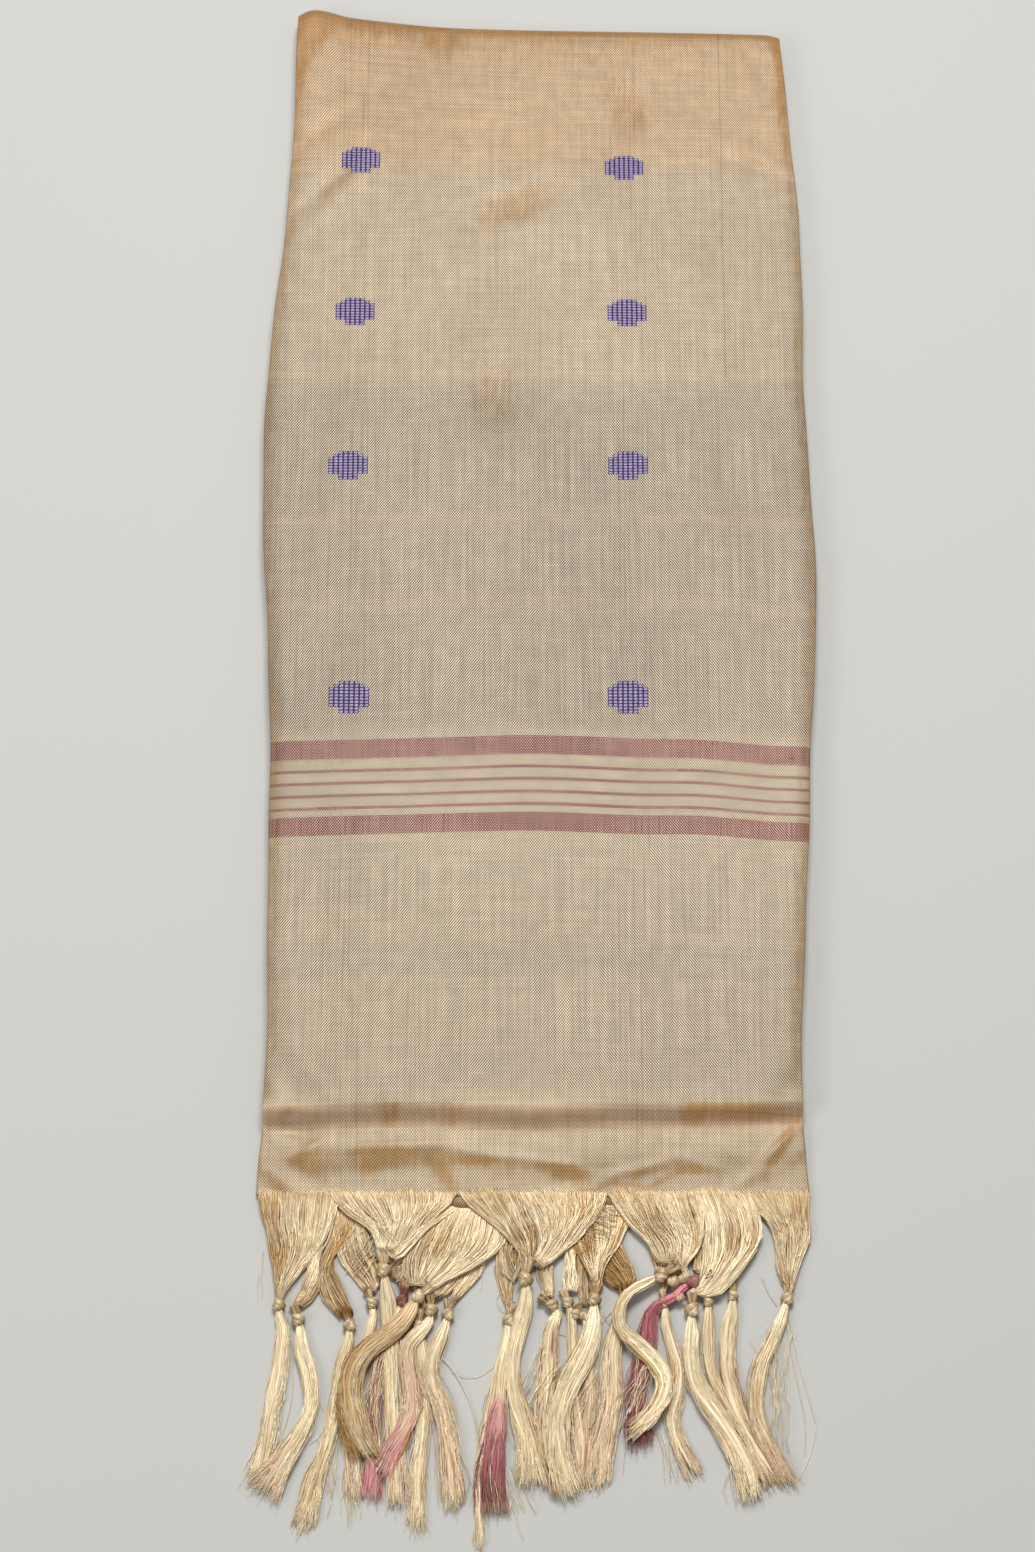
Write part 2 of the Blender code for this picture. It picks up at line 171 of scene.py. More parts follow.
# Creases of the top stretch, as soft ridges, or troughs where the height is below nothing
CREASES = (
    # across, along, length, turn in degrees, half width, height
    (56.6, 668, 28, 72, 9, -1.8),
    (-9.5, 604, 52, 24, 10, -1.7),
    (-22, 608, 34, 26, 9, -0.5),
    (-24, 481, 34, 88, 14, -1.5),
    (-26, 466, 22, 60, 10, -0.9),
    (-124, 619, 62, 47, 5, -1.3),
    (-114, 613, 56, 47, 6, 0.9),
    (-129, 652, 36, 38, 5, -1.2),
    (133, 630, 44, -24, 5, -1.2),
    (126, 640, 44, -30, 6, 0.6),
    (-57, 716, 26, 84, 7, -1.8),
    (-95, 716, 80, -6, 8, 0.8),
    (-139, 700, 60, 62, 6, -1.1),
    (134, 706, 44, -62, 7, -1.0),
    (8, 628, 60, 84, 14, 0.8),
    (92, 560, 150, 88, 16, 0.9),
    (-62, 548, 180, 92, 18, 0.7),
    (20, 366, 120, 86, 20, -0.7),
    (118, 410, 110, 97, 12, -0.8),
    (-128, 470, 130, 84, 9, -0.8),
    (-96, 150, 130, 88, 20, 0.7),
    (66, 120, 110, 90, 22, 0.6),
    (-20, 150, 140, 91, 16, -0.6),
    (130, 210, 120, 92, 9, -0.7),
    (-134, 60, 34, -60, 7, -1.0),
    (136, 56, 30, 58, 7, -1.2),
    (-132, 36, 22, -14, 4, -1.2),
    (-80, 27, 66, 2, 3.6, 1.1),
    (-30, 23, 40, -8, 3.2, 0.9),
    (-84, 13, 60, 5, 5, -0.7),
    (-58, 17, 22, 70, 4, -0.7),
    (-122, 26, 20, 40, 3.0, 1.0),
    (-137, 7, 28, -40, 3.4, 1.0),
    (-129, 14, 26, -36, 3.2, -0.6),
    (10, 17, 30, -10, 3.0, 1.0),
    (18, 8, 22, 4, 3.4, -0.6),
    (56, 15, 34, 14, 2.8, 1.0),
    (38, 10, 16, 40, 2.6, 0.8),
    (86, 18, 26, -12, 3.0, 0.7),
    (129, 26, 34, 46, 2.2, 1.5),
    (116, 10, 26, 24, 3.4, 0.7),
    (102, 12, 18, 72, 3.4, -0.5),
)
# How far past its length a crease is still worked out
CREASE_MARGIN = 20
# The slow rise and fall of cloth lying on loose folds
SWELLS = (
    # wavelength across, wavelength along, phase across, phase along, height
    (170, 260, 0.4, 1.1, 0.45),
    (96, 190, 2.1, 0.3, 0.28),
    (240, 88, 1.2, 2.6, 0.24),
    (61, 71, 0.2, 0.9, 0.12),
)
SWELLS_FROM = (40, 100)
SWELLS_TO = (FOLD_START, FOLD_START - 40)
# How far the weft bends away from straight, which shows in the maroon bands
WEFT_BOW = (
    # across, shift along
    (-160, -4.2),
    (-132, -3.5),
    (-90, -2.3),
    (-45, -0.8),
    (-10, 0.0),
    (20, -0.6),
    (60, -2.2),
    (90, -2.6),
    (115, -4.6),
    (140, -6.3),
    (160, -6.5),
)
BOW_STRENGTH = (
    # along, share of the bow
    (0, 0.0),
    (60, 0.35),
    (200, 1.0),
    (270, 1.0),
    (400, 0.5),
    (600, 0.3),
    (760, 0.0),
)

# The thick and thin maroon stripes of the border band
MAROON_STRIPES = (
    # middle along, width
    (211.1, 11.3),
    (221.6, 1.9),
    (229.0, 1.9),
    (236.6, 1.9),
    (243.9, 1.9),
    (256.9, 11.5),
)
MAROON = (0.135, 0.004, 0.018)
# They pale towards the long edges: from and to, in metres from a middle line, and what is kept
MAROON_MIDDLE = 2.0
MAROON_FADING = (0.144, 0.152, 1.0, 0.45)
# How far they hide the warp: from and to in the warp's noise, and the weft's cover there
PACKED_MAROON = (0.32, 0.68, 0.28, 0.70)

# The weft's colours, and where along the cloth each of them shows. The rosy one on the step's face is
# painted light, lighter and pinker to lift the step's shade
WEFT_COLOURS = {
    "hem": (0.23, 0.155, 0.075),
    "rosy": (0.52, 0.30, 0.18),
    "plain": (0.115, 0.076, 0.046),
    "grey": (0.085, 0.058, 0.043),
    "light": (0.11, 0.076, 0.052),
    "middle": (0.042, 0.027, 0.02),
    "orange": (0.095, 0.05, 0.03),
    "upper": (0.16, 0.105, 0.06),
    "peach": (0.305, 0.163, 0.055),
    "fold": (0.23, 0.125, 0.045),
}
WEFT_BANDS = (
    # along, colour, how much more of the weft shows
    (0, "hem", -0.14),
    (3, "hem", -0.14),
    (5, "hem", 0.0),
    (36, "hem", 0.0),
    # Painted light on the step's face
    (40, "rosy", 0.0),
    (46, "rosy", 0.0),
    (49, "hem", 0.0),
    (60, "plain", 0.05),
    (119, "plain", 0.05),
    (122, "grey", 0.08),
    (139, "grey", 0.08),
    (143, "plain", 0.05),
    (190, "light", 0.03),
    (262, "light", 0.03),
    (270, "middle", 0.14),
    (339, "middle", 0.14),
    (343, "orange", 0.13),
    (346, "orange", 0.13),
    (350, "middle", 0.14),
    (393, "middle", 0.14),
    (397, "orange", 0.13),
    (399, "orange", 0.13),
    (403, "middle", 0.14),
    (470, "middle", 0.14),
    (487, "grey", 0.1),
    (490, "upper", 0.08),
    (500, "plain", 0.05),
    (560, "upper", 0.06),
    (618, "upper", 0.06),
    (640, "peach", 0.22),
    (712, "peach", 0.22),
    (732, "fold", 0.30),
)
WEAVE_LENGTH = 800
PLAIN_COVER = 0.05
WARP_COLOUR = (0.72, 0.605, 0.45)
WARP_PITCH = 0.715
WEFT_PITCH = 0.94
YARN_SHARPNESS = 2.8

# Which diagonal the weave shows: its change for a metre across and its value on the middle line,
# soft patches, and stretches of the way along, in metres, with what is lost or kept there
LEAN_ACROSS = (-6.0, 0.56)
LEAN_PATCHES = 0.16
LEAN_LOST_FAR = (0.48, 0.62, 0.0, 0.5)
LEAN_LIMITS = (0.24, 0.76)
LEAN_GROWING_NEAR = (0.03, 0.14, 0.25, 1.0)
# What the weft's cover is multiplied by: a part that grows as one diagonal shows, and a fixed part
COVER_BY_LEAN = (0.83, 0.57)

# The noise of handspun yarns
NOISE_RANGE = (0.3, 0.7)
SLUBS = (
    # output, scale, detail, offset
    ("Warp Streak", (820, 15, 1), 3.0, (0, 0, 0)),
    ("Weft Streak", (16, 900, 1), 3.0, (3, 0, 0)),
    ("Weft Slub", (48, 900, 1), 1.0, (0, 0, 4)),
    ("Fleck", (150, 110, 1), 2.0, (0, 2, 9)),
    ("Cloud", (9, 6, 1), 2.0, (0, 0, 7)),
)
SLUB_RANGE = (0.68, 0.82)
SLUB_SHARE = 0.4
SLUB_COLOUR = (0.60, 0.49, 0.33, 1.0)

# The darkest and the lightest that each kind of noise makes the yarns or the cloth
WEFT_LIGHT = (0.80, 1.20)
WARP_LIGHT = (0.89, 1.11)
PICK_LIGHT = (0.94, 1.06)
FLECK_LIGHT = (0.92, 1.08)
CLOUD_LIGHT = (0.94, 1.06)
# From and to in the weave's height, and how dark the gaps between its yarns are painted there, as shade
GAP_SHADE = (0.0, 0.35, 0.86, 1.0)
CLOTH_ROUGHNESS = (0.52, 0.44)
# How much the yarns and the noise stand out in the fine relief
YARN_RELIEF = 0.5
STREAK_RELIEF = 0.4

# Lumps in the maroon picks, and darker warp ends: in line with the dots, and one by the right edge
LUMP_RANGE = (0.745, 0.765)
LUMP_SHARE = 0.9
LUMP_COLOUR = (0.10, 0.006, 0.018, 1.0)
PULLED_RANGE = (0.42, 0.72)
PULLED_SHARPNESS = 8.0
PULLED_SHARE = 0.45
PULLED_COLOUR = (0.17, 0.105, 0.06, 1.0)
DARK_END_ACROSS = 110.5
DARK_END_WIDTH = 0.7
DARK_END_START = 490
DARK_END_COLOUR = (0.20, 0.12, 0.065, 1.0)

# The painted shade of lost sheen: the tint that the cloth is given where it tilts
LOST_SHEEN_SHADE_TINT = (0.84, 0.645, 0.41, 1.0)
LOST_SHEEN_SHADE_RAGGED = (-0.22, 0.22)
LOST_SHEEN_SHADE_RANGE = (0.16, 0.86)
TILT_SHARE = 0.62
TILT_LEAST = 0.06
TILT_SPAN = 0.26
# On the step's face most of this painted shade is left off
STEP_MIDDLE = 43
STEP_HALF = 6.5
STEP_KEEPS = 0.8

# Soft patches of that painted shade, along the hem's creases, at the far fold and a few between
LOST_SHEEN_SHADE_PATCHES = (
    # across, along, length, turn in degrees, half width, strength
    (-129, 21, 12, 34, 2.2, 0.8),
    (-118, 14, 20, 84, 9, 0.4),
    (-83, 23.5, 34, -4, 3.4, 0.85),
    (-90, 15, 20, 80, 6, 0.55),
    (-78, 18, 9, -80, 2, 0.5),
    (-50, 11, 26, -60, 5, 0.9),
    (-34, 18.5, 21, -5, 2.4, 0.75),
    (-81, 1, 8, 80, 2, 0.6),
    (-69, 3, 10, -50, 2.4, 0.55),
    (-140, 4, 18, -45, 3.2, 0.75),
    (-15, 14, 10, 85, 2.6, 0.4),
    (11, 12, 14, -40, 4, 0.6),
    (21, 11, 18, -44, 4, 0.8),
    (30, 3.5, 13, 15, 1.8, 0.6),
    (27, 0, 24, 0, 3, 0.7),
    (48, 6, 17, -4, 1.9, 0.8),
    (66, 8, 28, 27, 2.0, 0.75),
    (82, 13.5, 17, -3, 2.0, 0.75),
    (54, 11, 11, 40, 2.2, 0.5),
    (133, 28.5, 36, 60, 1.9, 1.0),
    (140, 20, 12, 65, 1.8, 0.5),
    (108, 44.5, 56, -2, 4.2, 0.8),
    (84, 42.5, 12, 70, 5, 0.6),
    (-80, 43.5, 14, 70, 5, 0.55),
    (-47, 43.5, 13, 80, 5, 0.45),
    (-134, 44, 10, 10, 2, 0.6),
    (0, 740, 460, 0, 26, 1.0),
    (-12, 605, 60, 25, 9, 0.6),
    (57, 668, 28, 72, 9, 0.38),
    (-24, 481, 32, 88, 13, 0.45),
    (-142, 716, 66, 76, 9, 0.3),
    (148, 700, 80, 88, 6, 0.4),
    (44, 682, 26, 70, 12, 0.3),
)

# The woven dots
DOTS = (
    # across, along, length
    (-104.5, 633.5, 16.5),
    (-106.4, 532.4, 17.8),
    (-108.8, 431.4, 18.2),
    (-105.8, 285.7, 19.8),
    (52.6, 630.0, 16.5),
    (53.3, 531.0, 17.8),
    (52.8, 431.4, 18.2),
    (51.2, 285.7, 19.8),
)
# The middle lines of the two columns of dots
PULLED_COLUMNS = (DOTS[1][0], DOTS[5][0])
DOT_COLUMN = 2.85
# For each column of floats, left to right: its lowest and highest row
DOT_COLUMNS = ((2, 7), (2, 8), (0, 9), (0, 9), (0, 9), (0, 9), (2, 8), (2, 7))
DOT_ROWS = 10
FLOAT_SHARE = (0.72, 0.74)
FLOAT_RISE = 0.3
FLOAT_RIM = 0.1
FLOAT_SLANT = 0.12
GROUND_RISE = 0.05
VIOLET_COLOURS = ((0.195, 0.145, 0.37, 1.0), (0.54, 0.455, 0.77, 1.0))
# The ground's colours, near black as painted shade between the floats as well as the ties
TIE_AND_SHADE_COLOURS = ((0.008, 0.004, 0.018, 1.0), (0.05, 0.028, 0.085, 1.0))

# The lower plies, and where they show between the locks of the fringe
LOWER_PLIES = (
    # end along, height, distance in from the edges, phase of the wavering
    (-2.6, 2.4, 6.0, 0.0),
    (-3.4, 1.5, 7.0, 1.7),
)
PLY_COLUMNS = 96
# Painted shade of lost sheen over all of the lower plies
PLY_LOST_SHEEN_SHADE = 0.75
PLY_GAPS = (-39, 42, 116)
PLY_GAP_HALF = 11
PLY_LONGER = 3.4
PLY_DEPTH = 45

# The hidden lengths that show at the strip's long edges
LENGTHS = 7
LENGTH_HEIGHT = 1.93
ROLLS_PER_LENGTH = 2
STACK_NEAR_END = 46.0
STACK_CORNER = 5.0
# At the far end the lengths follow the fold's curve inside it, from this height up
LENGTHS_INSIDE = 2.3
LOWEST_CURVED = 2.1

# The fringe's pieces, each with the knots that it holds
TASSELS = 24
FRINGE_PARTS = {
    "fringe_left": (1, 2, 3, 4, 5),
    "fringe_inner_left": (6, 7, 8, 9, 10),
    "fringe_middle_left": (11, 12, 13),
    "fringe_middle_right": (14, 15, 25, 16, 17),
    "fringe_inner_right": (18, 26, 19, 27, 20),
    "fringe_right": (21, 22, 23, 24),
}
# The knots: where they lie, how they are turned from the strip's line, and their size
KNOTS = {
    # number: (across, drop, height, turn in degrees, size)
    1: (-137.6, 60, 3.1, -4, 1.05),
    2: (-127.0, 68, 3.1, 16, 1.08),
    3: (-100.0, 71, 3.1, 14, 1.08),
    4: (-81.9, 42, 6.4, 2, 1.25),
    5: (-88.0, 59, 2.9, 20, 1.0),
    6: (-72.4, 58, 3.6, -10, 1.12),
    7: (-63.6, 56.5, 6.4, -46, 1.15),
    8: (-56.6, 63, 3.8, 4, 1.12),
    9: (-48.0, 65, 3.2, -6, 1.05),
    10: (-63.2, 71, 2.8, 0, 0.9),
    11: (-6.7, 47, 6.0, -4, 1.25),
    12: (-15.8, 68, 2.8, -8, 1.0),
    13: (7.8, 60, 3.2, 58, 1.05),
    14: (15.8, 58.6, 3.4, 20, 1.0),
    15: (24.2, 66, 2.9, 30, 0.85),
    16: (29.8, 57.4, 4.4, -6, 1.15),
    17: (45.4, 57, 2.9, 4, 0.95),
    18: (65.0, 44.8, 6.4, -58, 1.15),
    19: (82.4, 48, 4.8, -64, 1.2),
    20: (67.0, 59, 2.9, 8, 0.9),
    21: (81.4, 63, 4.2, -4, 1.22),
    22: (90.4, 58.5, 3.0, 4, 0.85),
    23: (103.6, 55, 3.0, 4, 0.9),
    24: (132.2, 56.4, 3.2, -14, 1.05),
    # Second knots on the same yarns
    25: (20.0, 65, 3.2, 24, 0.9),
    26: (71.6, 48.2, 5.4, -66, 1.0),
    27: (75.2, 56, 4.6, -78, 0.8),
}
# Locks of yarn between the cloth and a knot, by their left and right edges from the root down
TOP_ROOT = -1.6
# The tone column is partly painted shade: the deepest tones, on the locks of knots 3 and 17, stand for
# lost sheen
LOCKS = (
    # knot, left edge, right edge, yarns, height, tone
    (1, ((-150.4, TOP_ROOT), (-149.0, 8), (-142.4, 28), (-141.2, 46)),
     ((-106.5, TOP_ROOT), (-108.5, 10), (-116.0, 29), (-129.0, 46)), 150, 3.4, 0.20),
    (2, ((-128, 2), (-121, 30), (-125.6, 46), (-128, 56)),
     ((-112, 2), (-116, 34), (-116, 50), (-124.5, 61)), 70, 2.8, 0.30),
    (3, ((-106, 8), (-113, 30), (-117, 42), (-115.5, 54), (-106, 66)),
     ((-97, 8), (-101, 20), (-109, 36), (-103.5, 50), (-98.6, 64)), 80, 2.2, 0.65),
    (5, ((-112, 2), (-107, 34), (-97, 46), (-91, 53)),
     ((-94, 2), (-90, 28), (-84.6, 44), (-85.4, 52)), 90, 2.0, 0.2),
    (6, ((-92, 2), (-86, 28), (-77, 46)), ((-66, 2), (-65, 30), (-70, 48)), 80, 2.6, 0.3),
    (10, ((-72, 2), (-69, 30), (-65, 56)), ((-58, 2), (-60, 32), (-61, 56)), 24, 1.6, 0.3),
    (4, ((-113, TOP_ROOT), (-105, 8), (-91, 19), (-85, 31)),
     ((-43.5, TOP_ROOT), (-47, 5), (-59, 17), (-74, 31)), 230, 5.0, 0.22),
    (4, ((-44, 1), (-62, 16.4), (-77.4, 33)), ((-40, 4), (-59.5, 20), (-75.6, 36.4)), 40, 7.4, 0.05),
    (9, ((-46, 2), (-42, 38), (-47, 58)), ((-20, 2), (-29, 40), (-45, 58)), 60, 2.4, 0.15),
    (8, ((-58, 2), (-60, 38), (-57, 55)), ((-24, 2), (-36, 40), (-53, 57)), 80, 3.4, 0.3),
    (7, ((-58, 2), (-68, 24), (-71, 40), (-67, 50)),
     ((-14, 2), (-19, 27), (-36, 41), (-56, 52)), 210, 5.4, 0.22),
    (12, ((-24, 2), (-21, 40), (-18, 58)), ((-8, 2), (-13, 42), (-14, 58)), 40, 1.8, 0.2),
    (11, ((-18, 2), (-21.5, 30), (-18, 44), (-12, 47)),
     ((-3, 2), (-8, 28), (-8.4, 38), (-7, 42)), 76, 3.6, 0.3),
    (11, ((-42.5, TOP_ROOT), (-34.5, 8), (-19, 21), (-8, 33)),
     ((-11, TOP_ROOT), (-5, 10), (-2.5, 24), (-4, 36)), 120, 5.2, 0.28),
    (11, ((-12, TOP_ROOT), (-4, 12), (0, 26), (-3.4, 37)),
     ((37, TOP_ROOT), (34, 8), (20, 25), (2, 39)), 180, 4.8, 0.16),
    (13, ((-2, 2), (0, 38), (3.4, 55)), ((12, 2), (7, 36), (9, 57)), 50, 2.0, 0.25),
    (14, ((17, 2), (15.6, 36), (12.4, 47), (14.6, 53)),
     ((21, 2), (19.6, 36), (23, 48), (18.6, 54)), 60, 3.2, -0.1),
    (15, ((18, 2), (20, 48), (23, 58)), ((30, 2), (26, 48), (25, 60)), 30, 1.8, 0.2),
    (17, ((22, 2), (29, 40), (38, 49), (43.6, 51)),
     ((36, 2), (46, 31), (51.4, 43), (48.6, 52)), 110, 3.0, 0.85),
    (16, ((10, 2), (19, 30), (27, 43), (28, 50)),
     ((52, 2), (45, 26), (35, 38), (32.6, 50)), 120, 4.6, 0.35),
    (20, ((56, 2), (62, 34), (65, 50)), ((74, 2), (70, 36), (69, 50)), 40, 1.8, 0.3),
    (19, ((76, 2), (84, 28), (85, 42)), ((96, 2), (94, 30), (88, 44)), 50, 2.6, 0.3),
    (18, ((37, TOP_ROOT), (46, 13), (58, 26), (66, 37)),
     ((66, TOP_ROOT), (72, 13), (77, 27), (73, 39)), 130, 4.6, 0.3),
    (26, ((62, TOP_ROOT), (69, 12), (76, 26), (75, 40)),
     ((86, TOP_ROOT), (89, 13), (86, 30), (78, 42)), 100, 5.0, 0.15),
    (22, ((84, 2), (87, 34), (89, 50)), ((100, 2), (97, 36), (92, 50)), 40, 1.8, 0.2),
    (23, ((98, 2), (99, 34), (102, 48)), ((114, 2), (108, 36), (105, 48)), 40, 1.8, 0.3),
    (21, ((84, TOP_ROOT), (90, 15), (89, 34), (82, 53)),
     ((113, TOP_ROOT), (119, 15), (116, 32), (92, 57)), 190, 5.6, 0.1),
    (24, ((107, TOP_ROOT), (116, 8), (125, 18), (128, 35), (130.4, 47)),
     ((146, TOP_ROOT), (145.6, 12), (144.4, 24), (139, 37), (136, 49)), 130, 3.4, 0.25),
)
# The loose ends below the knots, each by its middle line and width on the way to its tips
# The tone column is partly painted shade: the deepest, on the end below knot 7, stands for lost sheen
LOOSE_ENDS = (
    # knot, (across, drop, width) on the way, tip width, yarns, height, tone, dye
    (1, ((-135.0, 73, 7), (-136.2, 93, 10.6), (-138.5, 108, 12.4), (-143, 138, 13), (-146.5, 152, 13)),
     14, 130, 2.0, 0.05, "plain"),
    (3, ((-101.2, 82, 6), (-103.6, 96, 9), (-106.5, 118, 9.6), (-111.5, 139, 11.4),
         (-116.4, 154, 12.6), (-120.5, 175, 14)), 15, 140, 2.0, 0.12, "plain"),
    (5, ((-92, 84, 8), (-97, 106, 10), (-99, 126, 10), (-97, 142, 9), (-96.5, 160, 10)),
     11, 110, 1.7, 0.2, "rosy tips"),
    (10, ((-62, 84, 7), (-60.4, 104, 9), (-60.8, 126, 11), (-62.4, 150, 12), (-62.6, 175, 12.5)),
     13.5, 130, 1.7, 0.0, "plain"),
    (6, ((-80, 76, 7), (-85, 92, 9), (-87, 110, 10), (-86.4, 128, 9.6), (-87, 145, 10), (-88.4, 161, 11)),
     12, 120, 2.3, 0.25, "maroon then pink"),
    (12, ((-16.6, 78, 5), (-21, 96, 6), (-26.6, 124, 7), (-29.4, 150, 8), (-28.6, 186, 9.5)),
     10.5, 80, 1.4, 0.0, "plain"),
    (12, ((-16, 78, 5), (-19, 92, 6.5), (-20.6, 106, 8), (-22.6, 120, 10), (-24.4, 136, 12.6),
          (-25.4, 152, 13.6), (-24.8, 168, 14)), 15, 130, 3.0, 0.1, "maroon end"),
    (13, ((7.2, 72, 8), (5.6, 86, 11), (4.6, 102, 12), (3.6, 120, 12), (4.2, 137, 11), (5.4, 152, 11)),
     12, 130, 2.0, 0.2, "maroon flecks"),
    (14, ((18, 74, 6), (18.6, 92, 9), (18.4, 108, 10), (20, 126, 10), (22.6, 156, 10)),
     12, 90, 1.6, 0.25, "rosy"),
    (15, ((26, 80, 7), (27, 96, 9), (27.4, 112, 10), (26.6, 130, 10), (26.4, 156, 10)),
     11, 90, 1.6, 0.2, "rosy"),
    (17, ((42.4, 70, 8), (39, 84, 12), (38.6, 98, 14), (38.6, 110, 15), (37, 122, 15),
          (34.4, 137, 14.6), (31.4, 154, 14)), 14, 140, 2.2, 0.25, "rosy"),
    (20, ((67.6, 70, 6), (70.6, 83, 8), (73, 96, 9.5), (71.6, 108, 9), (69.6, 121, 9),
          (73, 133, 10), (80.4, 150, 11)), 12.5, 110, 1.8, 0.15, "rosy tips"),
    (22, ((89.8, 70, 7), (90, 84, 8), (91.6, 96, 8), (96, 108, 9), (103, 121, 9), (110, 138, 10),
          (115, 156, 10)), 11, 100, 1.7, 0.15, "plain"),
    (23, ((102, 66, 8), (99.8, 80, 10), (99.6, 94, 10.4), (101.6, 107, 10.4), (106, 121, 10),
          (113, 137, 10), (121.6, 155, 12)), 13.5, 130, 2.0, 0.22, "rosy"),
    (4, ((-79.8, 57, 8), (-78.6, 70, 11), (-77.6, 92, 12), (-76.6, 115, 12), (-75.8, 136, 12),
         (-74.8, 163, 12)), 13.5, 150, 3.2, 0.15, "rosy tips"),
    (2, ((-125, 84, 8.4), (-121.4, 95, 9.4), (-119.6, 106, 9), (-120.2, 116, 8.4), (-123.8, 126, 9.6),
         (-129, 136, 10.4), (-136, 147, 14), (-143.6, 158, 18)), 21, 150, 3.8, 0.0, "rosy tips"),
    (9, ((-52, 78, 8), (-57, 90, 10), (-56.4, 102, 12), (-51.6, 115, 14), (-48.8, 130, 15),
         (-47, 146, 15.4), (-46.4, 166, 15.6)), 16.5, 160, 3.2, 0.22, "rosy"),
    (8, ((-62, 74, 8), (-69, 82, 10), (-69.4, 92, 11), (-66.6, 106, 10.6), (-66.8, 118, 11),
         (-70.4, 128.5, 11.4), (-75.6, 138.6, 11.6), (-81, 148.6, 12)), 13, 150, 4.8, 0.2, "pink bow"),
    (11, ((-6.2, 56, 8), (-8.4, 66, 10), (-11.6, 78, 11), (-14, 92, 10), (-13, 106, 10.6),
          (-9.2, 120, 13.6), (-5.2, 135, 16.4), (-3.8, 154, 17)), 18.5, 215, 4.0, 0.12, "plain"),
    (16, ((29.8, 67, 8.4), (27, 81, 12.4), (21.6, 93, 16), (14.6, 105, 17), (10.6, 119, 15),
          (10.6, 134, 14.4), (13.4, 148, 15), (16.6, 158, 15)), 17, 225, 4.8, -0.05, "plain"),
    (21, ((81.4, 74, 8), (80.8, 88, 9.4), (83.2, 101, 12), (88.8, 112, 13.4), (98, 127, 13.6),
          (106.6, 145, 13.6), (111, 160, 14)), 15.5, 190, 4.2, 0.05, "plain"),
    (24, ((129.4, 66, 6), (124, 78, 8), (117.2, 91.6, 9.6), (114, 105, 10), (114, 118, 10),
          (116.8, 129, 10), (122, 139, 10), (128.6, 153, 10)), 11, 130, 4.0, 0.2, "rosy tips"),
    (19, ((71, 57.4, 5), (64.4, 59, 6.4), (59.8, 65, 8.6), (58.4, 74, 10), (56.4, 86, 11.4),
          (53.6, 97, 12.6), (52.2, 109, 13), (52, 121, 12.6), (53.2, 132, 13)),
     13.5, 170, 4.2, 0.1, "maroon"),
    (7, ((-66.4, 61, 7), (-72.6, 70.4, 10), (-81, 77.6, 12), (-89.6, 84, 13.4), (-96, 92, 14),
         (-98.8, 103, 14), (-98.2, 115, 14), (-95.4, 127, 13.6), (-89.4, 139, 11.4)),
     12, 220, 7.0, 0.62, "plain"),
    (18, ((57.4, 48.6, 5.6), (48.6, 54, 6), (42.8, 63, 6.4), (43, 72.4, 7.4), (50, 80, 9.6),
          (59, 88.6, 10.4), (65.2, 97.6, 10.6), (65.6, 106.4, 10.4), (61.2, 115.6, 10),
          (55.2, 122.8, 9), (50, 127, 8.4)), 8.4, 150, 7.8, 0.15, "plain"),
)
# Where yarns are dyed, as shares of the way to the tips, the dye's strength and depth
DYES = {
    # name: (start, end, strength, depth at start, depth at end, share of the yarns) rows
    "plain": (),
    "rosy": ((0.35, 1.02, 0.22, 0.1, 0.1, 0.4),),
    "rosy tips": ((0.8, 1.02, 0.26, 0.15, 0.15, 0.6),),
    "pink bow": ((0.3, 0.72, 0.3, 0.35, 0.25, 0.85), (0.66, 1.02, 0.66, 0.1, 0.0, 0.85)),
    "maroon then pink": ((0.16, 0.8, 0.9, 0.9, 0.75, 0.75), (0.8, 1.02, 0.85, 0.1, 0.05, 0.95)),
    "maroon end": ((0.4, 0.62, 0.75, 0.1, 0.3, 0.9), (0.58, 1.02, 0.98, 0.5, 1.0, 0.97)),
    "maroon flecks": ((0.12, 0.34, 0.9, 0.8, 0.9, 0.1), (0.5, 0.8, 0.6, 0.9, 0.9, 0.05)),
    "maroon": ((-0.1, 1.1, 1.0, 0.35, 1.0, 1.0),),
}
# Dyed knots: the dye's strength and depth
DYED_KNOTS = {6: (0.8, 1.0), 19: (0.72, 0.75), 27: (0.25, 0.2)}
# Painted shade and highlight on the knots: their yarns are given a deep tone for the shade inside a knot,
# and the higher strands are painted lighter
KNOT_SHADE_TONE = 0.88
KNOT_TOP_LIGHT = 0.62
KNOT_REACH = 1.5
KNOT_LENGTH = 3.4
KNOT_ROPE = 1.6
KNOT_TWIST = 2.4
KNOT_POINTS = 34
KNOT_STRANDS = 18
STRAND_RADIUS = 0.36
YARN_LIGHT = (1.0, 0.88, 0.63, 1.0)
YARN_DARK = (0.46, 0.245, 0.06, 1.0)
PINK_DYE = (0.74, 0.22, 0.33, 1.0)
MAROON_DYE = (0.24, 0.022, 0.045, 1.0)
